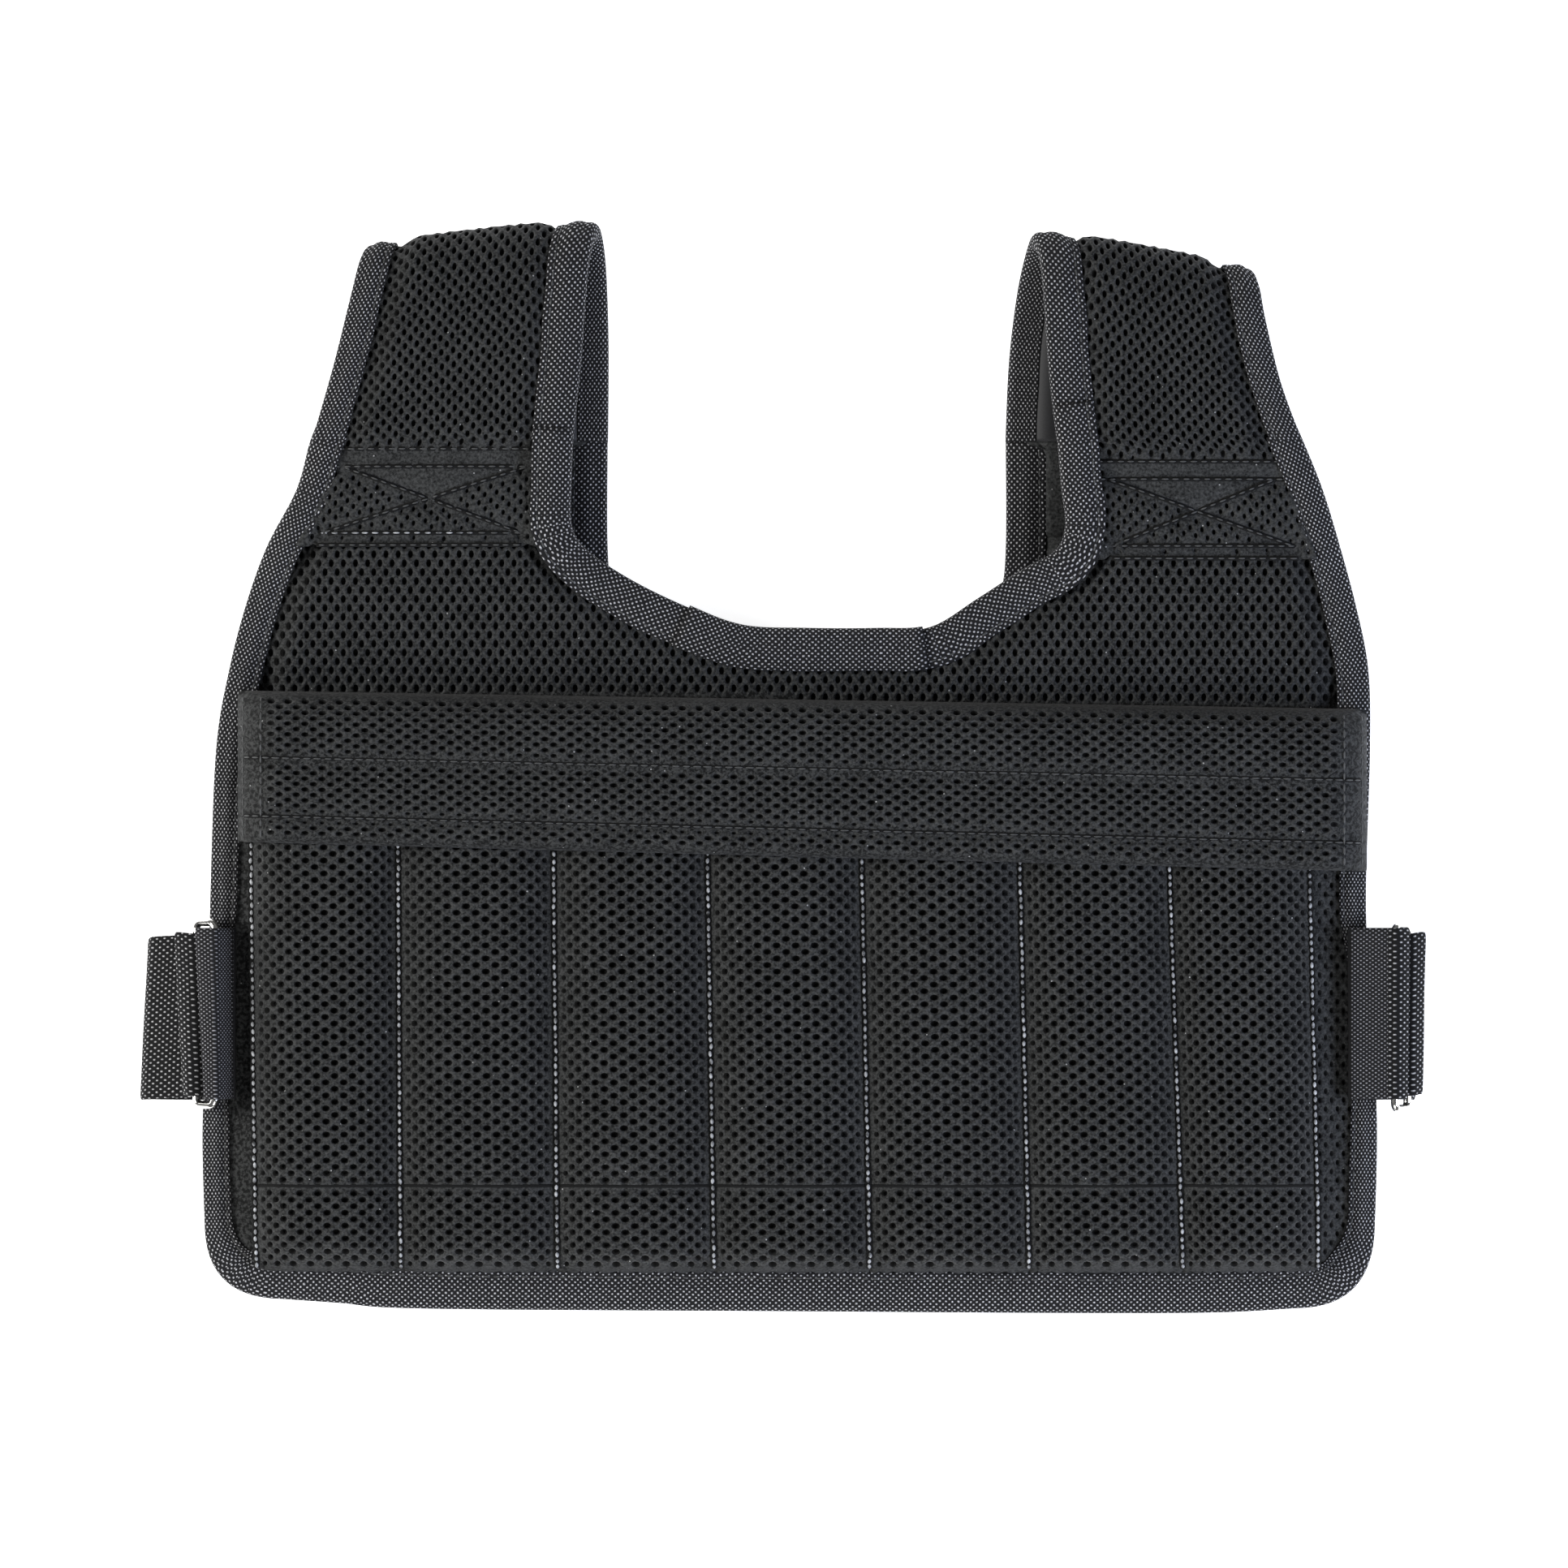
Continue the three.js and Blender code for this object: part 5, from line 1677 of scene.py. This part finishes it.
@dataclass
class ShoulderStrap:
    """A padded strap from the front yoke over the shoulder fold to the back yoke.

    The table says where its edges run. The sewn front end goes under the panel's tape by
    tuck: at its inner edge, then at its outer edge at the end and at the shoulder.
    """

    side: Side
    table: tuple[tuple[float, float, float, float, float, bool], ...]
    knit: Knit
    pad: float = 3.8
    crown: float = 0.8
    seat: float = EDGE_TOP + 0.9 + EDGE_THICKNESS / 2
    tuck: tuple[float, float, float] = (4.0, 8.5, 5.5)
    sewn_end: float = 32.0
    inset: float = 5.0

    def rows(self, key: int) -> Array:
        """The points of the inner edge, for key 0, or of the outer one, for key 2."""
        x = np.array([row[key] for row in self.table]) * HALF_WIDTH
        y = np.array([row[key + 1] for row in self.table]) * VEST_LENGTH
        rise = np.array([row[4] for row in self.table])
        z = mix(self.seat, front_level(x, y) + self.seat, rise)
        return np.stack([x, y, z], axis=1)

    def free(self) -> Ribbon:
        """The strap where it isn't sewn down."""
        keep = [i for i, row in enumerate(self.table) if not row[5]]
        lines = [spline(self.rows(key)[keep], 130, even=False) for key in (0, 2)]
        return Ribbon(lines[0], lines[1], self.side.value)

    def cloth_ribbon(self) -> Ribbon:
        """The padded cloth, from one sewn end to the other."""
        free = self.free()
        inner = free.inner + free.across * self.inset
        outer = free.outer - free.across * self.inset
        parts = []
        for key, line, out in ((0, inner, -1), (2, outer, 1)):
            rows = self.rows(key)
            rows[0, 0] += out * self.side.value * self.tuck[0 if out < 0 else 1]
            rows[1, 0] += out * self.side.value * self.tuck[0 if out < 0 else 2]
            steps = np.linspace(0, 1, 14)[:-1, None]
            start = mix(rows[0], rows[1], steps)
            end = mix(rows[-2], rows[-1], steps + 1 / 14)
            parts.append(np.concatenate([start, line, end]))
        return Ribbon(parts[0], parts[1], self.side.value)

    def boxes(self, ribbon: Ribbon) -> list[tuple[Array, Array, float]]:
        """The sewn box with a cross on the front end, as lines on the cloth.

        Args:
            ribbon: The strap's cloth.

        Returns:
            Pairs of end points, and how deep each line presses.
        """
        reach = ribbon.half_at(np.array([16.0]))[0] - 3.5
        low, high, top = 4.2, 25.0, 30.5
        tip = {Side.LEFT: 0.4, Side.RIGHT: 0.3}[self.side]
        lines = [
            ((low, -reach), (low, reach), 1.3),
            ((tip, -reach), (tip, reach), 1.0),
            ((top, -reach), (top, reach), 1.8),
            ((high, -reach), (high, reach), 1.4),
            ((high, -reach + 3), (low, reach - 1), 1.5),
            ((high, reach - 3), (low, -reach + 1), 1.5),
        ]
        return [(np.array(a), np.array(b), depth) for a, b, depth in lines]

    def build(self, finishes: Finishes) -> list[bpy.types.Object]:
        """Builds the strap, its lining and its tape.

        Args:
            finishes: The vest's materials.

        Returns:
            The pieces.
        """
        ribbon = self.cloth_ribbon()
        full = float(ribbon.run[-1])
        boxes = self.boxes(ribbon)

        def lift(s: Array, t: Array) -> Array:
            """How thick the strap is: padded where it is free, flat where it is sewn."""
            half = ribbon.half_at(s)
            slope = smooth(6.0, 13.0, half - np.abs(t))
            padded = mix(1.3, self.pad, slope) + self.crown * np.clip(1 - (t / half) ** 2, 0, 1)
            sewn = 1.6 + 1.5 * np.clip(1 - (t / half) ** 4, 0, 1)
            front, back = self.sewn_end, full - self.sewn_end
            free = smooth(front - 2, front + 5, s) * smooth(back + 2, back - 6, s)
            height = mix(sewn, padded, free) + 0.25 * ripple(s, t, 24.0, 8)
            flat = np.stack([s, t], axis=1)
            for start, end, depth in boxes:
                near = distance_to(flat, np.stack([start, end]))
                height = height - depth * np.exp(-((near / 2.3) ** 2))
            return height

        def top(s: Array, t: Array) -> Array:
            """The outer side."""
            s = np.clip(s, 0, full)
            return ribbon.at(s, t, lift(s, t))

        def under(s: Array, t: Array) -> Array:
            """The side towards the lining."""
            s = np.clip(s, 0, full)
            return ribbon.at(s, t, np.full(s.shape, -EDGE_THICKNESS / 2))

        def covers(flat: Array) -> Array:
            """The strap and what a hole's width beyond it is clamped to its edge."""
            s, t = flat.T
            reach = ribbon.half_at(np.clip(s, 0, full)) + 1.4
            return (s > -0.9) & (s < full + 0.9) & (np.abs(t) < reach)

        def clamp(flat: Array) -> Array:
            """Places beyond the strap moved onto its edge."""
            s = np.clip(flat[:, 0], 0, full)
            reach = ribbon.half_at(s)
            return np.stack([s, np.clip(flat[:, 1], -reach, reach)], axis=1)

        def open_at(flat: Array) -> Array:
            """The holes close at the stitches and are squashed in the sewn box."""
            near = np.full(len(flat), 99.0)
            for start, end, _ in boxes:
                near = np.minimum(near, distance_to(flat, np.stack([start, end])))
            s, t = flat.T
            upper = (s > 16.0 + np.abs(t) * 0.4) & (s < 31.0)
            squashed = mix(1.0, 0.82, ((s > 0) & (s < 31.0)).astype(float))
            return smooth(0.4, 2.0, near) * squashed * np.where(upper, 0.45, 1.0)

        cloth = Cloth(self.knit, top, under, covers, (0.0, -45.0), (full, 45.0), open_at, clamp)
        draft = cloth.build()
        seam = Seam(stitch=2.0, gap=1.1, height=0.45, sink=0.0)
        for number, (start, end, _) in enumerate(boxes):
            sewn = top(*mix(start, end, np.linspace(0, 1, 60)[:, None]).T) + [0.0, 0.0, 1.0]
            # a dark strip under each line of stitches is painted shade of its furrow
            draft.join(crease(sewn - [0, 0, 0.1], 1.3), 1)
            # the left strap's lowest line is worn to light fluff, but for its inner end
            worn = number == 0 and self.side is Side.LEFT
            dim = 14 if worn else 0
            draft.join(seam.sew(sewn[dim:], seed=number), 3 if worn else 2)
            if dim:
                draft.join(seam.sew(sewn[: dim + 1], seed=number), 2)
        word = self.side.word
        cloth_piece = draft.to_object(
            f"shoulder_strap_{word}_cloth",
            [finishes.mesh, finishes.depth, finishes.thread, finishes.worn_thread],
        )
        finish_piece(cloth_piece, [f"shoulder_strap_{word}"])
        return [cloth_piece, self._lining(finishes), *self._tapes(finishes)]

    def _lining(self, finishes: Finishes) -> bpy.types.Object:
        """Smooth cloth on the body side of the strap."""
        free = self.free()
        s = np.linspace(0, free.run[-1], 110)
        half = free.half_at(s) - 7.0
        steps = np.linspace(-1, 1, 9)
        low = -EDGE_THICKNESS / 2 - SEAM_GAP - 1.0
        rows = [free.at(s, half * step, np.full(s.shape, low + 0.15 * (1 - step**2))) for step in steps]
        rows += [free.at(s, half * step, np.full(s.shape, low + 0.9)) for step in steps[::-1]]
        draft = swept(np.stack(rows, axis=1))
        word = self.side.word
        piece = draft.to_object(f"strap_lining_{word}_cloth", [finishes.lining])
        finish_piece(piece, [f"strap_lining_{word}"])
        return piece

    def _tapes(self, finishes: Finishes) -> list[bpy.types.Object]:
        """Folded tape along both edges of the strap's free run."""
        free = self.free()
        s = np.linspace(0, free.run[-1], 120)
        half = free.half_at(s)
        section = Binding().section(BINDING_HEIGHT)
        made = []
        back = smooth(0.5, 0.6, s / free.run[-1])
        for word, sign, front_width in (("inner", -1, 1.03), ("outer", 1, 0.78)):
            width = mix(front_width, 0.74, back)
            rows = []
            for reach, height in section:
                wander = width * (1 + 0.03 * ripple(s, s * 0, 19.0, 30 + sign)) if reach > 0 else 1.0
                t = sign * (half - EDGE_LEVEL - reach * wander)
                rows.append(free.at(s, t, np.full(s.shape, height - BINDING_HEIGHT / 2)))
            draft = swept(np.stack(rows, axis=1), lengths(section))
            inward = half - EDGE_LEVEL - BINDING_REACH * 0.8 * width
            stitched = free.at(s, sign * inward, np.full(s.shape, BINDING_HEIGHT / 2 - 0.1))
            up = resample(free.up, free.run, s)
            draft.join(TAPE_SEAM.sew(stitched, up, seed=17), 1)
            name = f"strap_binding_{word}_{self.side.word}"
            piece = draft.to_object(f"{name}_tape", [finishes.tape, finishes.thread])
            finish_piece(piece, [name])
            made.append(piece)
        return made


@dataclass
class SideFastening:
    """Webbing and a wire ring that hold the two panels together at one side.

    Attributes:
        side: Which side it is on.
        bite: How far in from the tape's fold the webbing is sewn on.
        ring_out: How far out from the fold the ring's middle is.
        ring_rise: How high it is over the tape.
        ring_tilt: How far the ring is tipped outward, in degrees.
        fold: How far out the strap's turned-back end reaches.
        bend: How far out its lower loop reaches.
        entry: Where it comes to the ring's lower bar, in degrees.
        lean: How much one of its edges stands out beyond the other.
        slack: How loosely the tab goes round its bar.
        skew: How much one of its edges stands out beyond the other.
        coarse_from: How far out from the fold it turns coarse.
        ring_shift: How far the ring is pulled up from the webbing's middle.
        webbing: The webbing's thickness.
        wire: The wire's thickness.
    """

    side: Side
    bite: float
    ring_out: float
    ring_rise: float
    ring_tilt: float
    fold: float
    bend: float
    entry: float
    lean: float
    slack: float
    skew: float
    coarse_from: float = math.inf
    ring_shift: float = 0.0
    tab_centre: float = TAB_CENTRE
    tab_width: float = 52.6
    strap_width: float = 50.0
    webbing: float = 1.6
    wire: float = 2.5
    ring_width: float = 5.3
    ring_corner: float = 2.0

    @property
    def edge(self) -> float:
        """Distance from the vest's middle to the front tape's fold at the webbing."""
        column = 1 if self.side is Side.LEFT else 2
        up = [row[0] for row in FRONT_SIDES]
        share = np.interp(self.tab_centre / VEST_LENGTH, up, [row[column] for row in FRONT_SIDES])
        return float(share) * HALF_WIDTH

    def tape_top(self, out: float) -> float:
        """Height of the front tape's top, outward from its fold."""
        return float(front_level(np.array(self.edge + out), np.array(self.tab_centre))) + BINDING_HEIGHT

    def bars(self) -> tuple[Array, Array]:
        """The ring's upper and lower bar, outward from the fold and over the floor."""
        tilt = math.radians(self.ring_tilt)
        middle = np.array([self.ring_out, self.tape_top(0) + self.ring_rise])
        half = np.array([math.cos(tilt), -math.sin(tilt)]) * (self.ring_width + self.wire) / 2
        return middle - half, middle + half

    def around(self, bar: Array, degrees: float, slack: float = 0.0) -> tuple[float, float]:
        """A place on the middle line of webbing that goes round a bar.

        Args:
            bar: The bar's middle.
            degrees: The direction from it, where 0 is outward and 90 up.
            slack: How loosely the webbing lies there.

        Returns:
            How far out from the fold the place is, and how high.
        """
        wrap = self.wire / 2 + 2 * SEAM_GAP + self.webbing / 2 + slack
        angle = math.radians(degrees)
        return bar[0] + wrap * math.cos(angle), bar[1] + wrap * math.sin(angle)

    def band(self, rows: list[tuple[float, float, float, float]], width: float, seed: int) -> Draft:
        """A band of webbing.

        Args:
            rows: Outward place, height, shift along the edge and lean of its line.
            width: The webbing's width.
            seed: Which of many slight irregularities.

        Returns:
            The draft, with rounded edges.
        """
        # shares of half the width, and of the thickness, which is less at the selvedges
        across = np.array([-1.0, -0.985, -0.94, -0.8, -0.5, -0.2, 0.2, 0.5, 0.8, 0.94, 0.985, 1.0])
        thick = np.array([0.35, 0.75, 1, 1, 1, 1, 1, 1, 1, 1, 0.75, 0.35])
        table = np.array(rows)
        count = 110
        upper, lower = [], []
        for place, share in zip(across, thick):
            points = table[:, :3].copy()
            points[:, 0] -= place * table[:, 3]
            line = spline(points, count)
            flat = line[:, :2]
            wave = 0.22 * ripple(lengths(flat), np.full(count, place * 14), 17.0, seed)
            normal = sideways(flat)
            y = self.tab_centre + line[:, 2] + place * width / 2
            for bank, sign in ((upper, 1), (lower, -1)):
                side = flat + normal * (sign * share * self.webbing / 2 + wave[:, None])
                x = self.side.value * (self.edge + side[:, 0])
                bank.append(np.stack([x, y, side[:, 1]], axis=1))
        return swept(np.stack(upper + lower[::-1], axis=1))

    def build(self, finishes: Finishes) -> list[bpy.types.Object]:
        """Builds the tab, the ring and the side strap.

        Args:
            finishes: The vest's materials.

        Returns:
            The pieces.
        """
        word = self.side.word
        pieces = []
        for draft, name, node, material, slot in (
            (self._tab(), "tab_webbing", "ring_tab", finishes.fine, "fine_webbing"),
            (self._strap(), "side_webbing", "side_strap", finishes.coarse, "coarse_webbing"),
            (self._ring(), "ring_wire", "wire_ring", finishes.nickel, "nickel_wire"),
        ):
            piece = draft.to_object(f"{name}_{word}", [material, finishes.coarse])
            finish_piece(piece, [f"{node}_{word}"])
            pieces.append(piece)
        return pieces

    def _tab(self) -> Draft:
        """Fine webbing folded over the ring's upper bar."""
        bar, _ = self.bars()
        lower = 2 * SEAM_GAP + self.webbing / 2
        upper = lower + self.webbing + 2 * SEAM_GAP
        turn = -self.ring_tilt

        def sewn(out: float, height: float) -> tuple[float, float]:
            """A place on the front tape."""
            return out, self.tape_top(out) + height

        flat = [
            sewn(-self.bite, upper),
            sewn(-self.bite + 1.5, upper + 0.1),
            self.around(bar, 110, 0.3),
            self.around(bar, 75, 0.5),
            self.around(bar, turn + 55, self.slack),
            self.around(bar, turn, self.slack),
            self.around(bar, turn - 50, self.slack * 0.6),
            self.around(bar, 250),
            sewn(-self.bite + 1.5, lower),
            sewn(-self.bite, lower),
        ]
        leans = (0, 0, 0.2, 0.5, 1, 1, 1, 0, 0, 0)
        rows = [(out, z, 0.0, -self.skew * lean) for (out, z), lean in zip(flat, leans)]
        draft = self.band(rows, self.tab_width, 3)
        points = np.concatenate(draft.points)
        for number, faces in enumerate(draft.faces):
            out = np.abs(points[faces, 0]).mean(axis=1) - self.edge
            draft.covers[number] = (out > self.coarse_from).astype(int)
        return draft

    def _strap(self) -> Draft:
        """Coarse webbing that turns back in a loose loop through the ring."""
        _, bar = self.bars()
        turn = 180 - self.ring_tilt
        start = BINDING_HEIGHT + 2 * SEAM_GAP + self.webbing / 2
        bend, fold = self.bend - self.webbing / 2, self.fold - self.webbing / 2
        lean = self.lean
        rows = [
            (-self.bite, start, -2.0, 0.0),
            (-3.0, start, -2.0, 0.0),
            (bend * 0.45, 4.2, -2.0, lean),
            (bend - 3.6, 1.5, -2.0, lean),
            (bend - 0.8, 3.4, -2.0, lean),
            (bend, 7.0, -2.0, lean),
            (bend - 0.9, 10.6, -1.7, lean * 0.8),
            (mix(bend, bar[0], 0.2), 13.0, -1.4, lean * 0.5),
            (*self.around(bar, self.entry), -0.7, 0.0),
            (*self.around(bar, turn + 30, 0.3), -0.6, 0.0),
            (*self.around(bar, turn, 0.9), -0.5, 0.0),
            (*self.around(bar, turn - 50, 1.3), -0.4, 0.0),
            (*self.around(bar, 60, 1.2), -0.3, 0.0),
            (fold - 0.9, bar[1] + 1.2, 0.0, -lean * 0.8),
            (fold - 0.1, bar[1] - 0.3, 0.0, -lean),
            (fold - 0.1, bar[1] - 1.8, 0.0, -lean),
        ]
        return self.band(rows, self.strap_width, 5)

    def _ring(self) -> Draft:
        """The rectangular ring of round wire."""
        upper, lower = self.bars()
        y = self.tab_centre + self.ring_shift
        ends = [
            np.array([self.side.value * (self.edge + bar[0]), y, bar[1]]) for bar in (upper, lower)
        ]
        middle = (ends[0] + ends[1]) / 2
        across = unit(ends[0] - ends[1])
        along = np.array([0.0, 1.0, 0.0])
        normal = np.cross(across, along)
        half_length = (self.tab_width + 1 + self.wire) / 2 - self.ring_corner
        half_width = np.linalg.norm(ends[0] - ends[1]) / 2 - self.ring_corner
        turns = np.arange(16) * np.pi / 8
        sections = []
        for quarter, (a, b) in enumerate(((1, 1), (-1, 1), (-1, -1), (1, -1))):
            for share in np.linspace(0, 1, 9):
                angle = (quarter + share) * np.pi / 2
                out = along * math.cos(angle) + across * math.sin(angle)
                corner = middle + along * a * half_length + across * b * half_width
                circle = np.cos(turns)[:, None] * out + np.sin(turns)[:, None] * normal
                sections.append(corner + out * self.ring_corner + circle * self.wire / 2)
        return swept(np.array(sections), closed=True)


def finish_piece(
    piece: bpy.types.Object, nodes: Sequence[str]
) -> None:
    """Attaches a piece to the vest's body, hides the solids it stands for and logs its triangles.

    Args:
        piece: The piece.
        nodes: The solids that it replaces.
    """
    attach(piece, "root")
    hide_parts(*nodes)
    triangles = sum(len(polygon.vertices) - 2 for polygon in piece.data.polygons)
    LOG.info("%s: %d triangles", piece.name, triangles)


# name, place in metres, size in metres, power in watts and colour
SOFT_BOXES = (
    ("soft_box_left", (-1.6, 0.2, 0.95), 0.7, 28.0, (1.0, 0.99, 0.97)),
    ("soft_box_right", (1.1, -0.3, 0.7), 0.6, 12.0, (0.74, 0.81, 1.0)),
    ("soft_box_hem", (0.0, -0.8, 0.62), 0.6, 4.0, (1.0, 1.0, 1.0)),
)


@dataclass
class Studio:
    """A white floor, soft lights and a camera straight above.

    The picture spans frame_width around aim. The floor's own glow keeps it white.
    """

    frame_width: float = 483.0
    aim: tuple[float, float, float] = (-1.5, 161.5, 15.0)
    camera_height: float = 4000.0
    floor: int = 0xFFFFFF
    floor_glow: float = 0.85
    sky_strength: float = 0.15

    def build(self) -> None:
        """Sets up the floor, the lights and the camera."""
        self._floor()
        self._lights()
        self._camera()

    def _camera(self) -> None:
        """A long lens straight above the vest, with the shoulders at the top."""
        data = bpy.data.cameras.new("camera")
        camera = bpy.data.objects.new("camera", data)
        bpy.context.scene.collection.objects.link(camera)
        target = to_frame(np.array(self.aim))
        camera.location = (target[0], target[1], target[2] + self.camera_height * MM)
        data.sensor_width = 36.0
        data.lens = 36.0 * self.camera_height / self.frame_width
        data.clip_start, data.clip_end = 0.1, 20.0
        bpy.context.scene.camera = camera

    def _floor(self) -> None:
        """A plain white floor that keeps bright under the soft light."""
        draft = Draft()
        size = 3000.0
        corners = np.array([[-size, -size, 0], [size, -size, 0], [size, size, 0], [-size, size, 0]])
        draft.add_points(corners - [0, 0, 0.4])
        draft.add_faces(np.array([[0, 1, 2, 3]]))
        material, shader = blank_material("white_floor")
        shader.inputs["Base Color"].default_value = linear(self.floor)
        shader.inputs["Roughness"].default_value = 0.9
        shader.inputs["Emission Color"].default_value = linear(self.floor)
        shader.inputs["Emission Strength"].default_value = self.floor_glow
        draft.to_object("floor", [material])

    def _lights(self) -> None:
        """A soft box on each side, a weaker one beyond the hem, and an even sky."""
        for name, place, size, power, tint in SOFT_BOXES:
            data = bpy.data.lights.new(name, "AREA")
            data.shape, data.size, data.energy, data.color = "SQUARE", size, power, tint
            lamp = bpy.data.objects.new(name, data)
            lamp.location = place
            aim = -np.array(place)
            lamp.rotation_euler = (
                math.atan2(math.hypot(aim[0], aim[1]), -aim[2]),
                0.0,
                math.atan2(aim[1], aim[0]) - math.pi / 2,
            )
            bpy.context.scene.collection.objects.link(lamp)
        world = bpy.data.worlds.new("studio")
        world.use_nodes = True
        sky = world.node_tree.nodes["Background"]
        sky.inputs["Color"].default_value = linear(0xFFFFFF)
        sky.inputs["Strength"].default_value = self.sky_strength
        bpy.context.scene.world = world
        bpy.context.scene.view_settings.view_transform = "Standard"


def main() -> None:
    """Builds the vest in order and reports each piece."""
    logging.basicConfig(level=logging.INFO, format="%(message)s")
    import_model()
    finishes = Finishes()
    front = FrontPanel(
        name="front",
        sides=FRONT_SIDES,
        neck=FRONT_NECK,
        rise=0.0,
        level=front_level,
        knit=Knit(pitch=(3.75, 5.5), hole=(1.65, 2.6)),
    )
    back = BackPanel(
        name="back",
        sides=BACK_SIDES,
        neck=BACK_NECK,
        rise=2.5,
        level=back_level,
        knit=Knit(pitch=(5.6, 4.0), hole=(2.3, 1.75), depth=1.1, simple=True),
    )
    strap_knit = Knit(pitch=(4.6, 3.6), hole=(2.3, 1.45), turn=math.radians(12))
    builders = [
        back,
        front,
        Pockets(front, Knit(pitch=(5.6, 4.0), hole=(2.6, 1.95))),
        Flap(front, Knit(pitch=(5.25, 3.9), hole=(2.45, 1.75), depth=1.2)),
        ShoulderStrap(Side.LEFT, LEFT_STRAP, strap_knit),
        ShoulderStrap(Side.RIGHT, RIGHT_STRAP, strap_knit),
        SideFastening(
            Side.LEFT,
            bite=8.4,
            ring_out=0.5,
            ring_rise=5.0,
            ring_tilt=42.0,
            fold=9.0,
            bend=20.3,
            entry=250.0,
            lean=1.3,
            slack=1.2,
            skew=1.2,
        ),
        SideFastening(
            Side.RIGHT,
            bite=7.0,
            ring_out=8.8,
            ring_rise=1.4,
            ring_tilt=58.0,
            fold=16.2,
            bend=13.6,
            entry=215.0,
            lean=0.4,
            slack=0.9,
            skew=0.3,
            coarse_from=4.6,
            ring_shift=-1.3,
        ),
    ]
    for builder in builders:
        for piece in builder.build(finishes):
            LOG.info("built %s", piece.name)
    Studio().build()


if __name__ == "__main__":
    main()
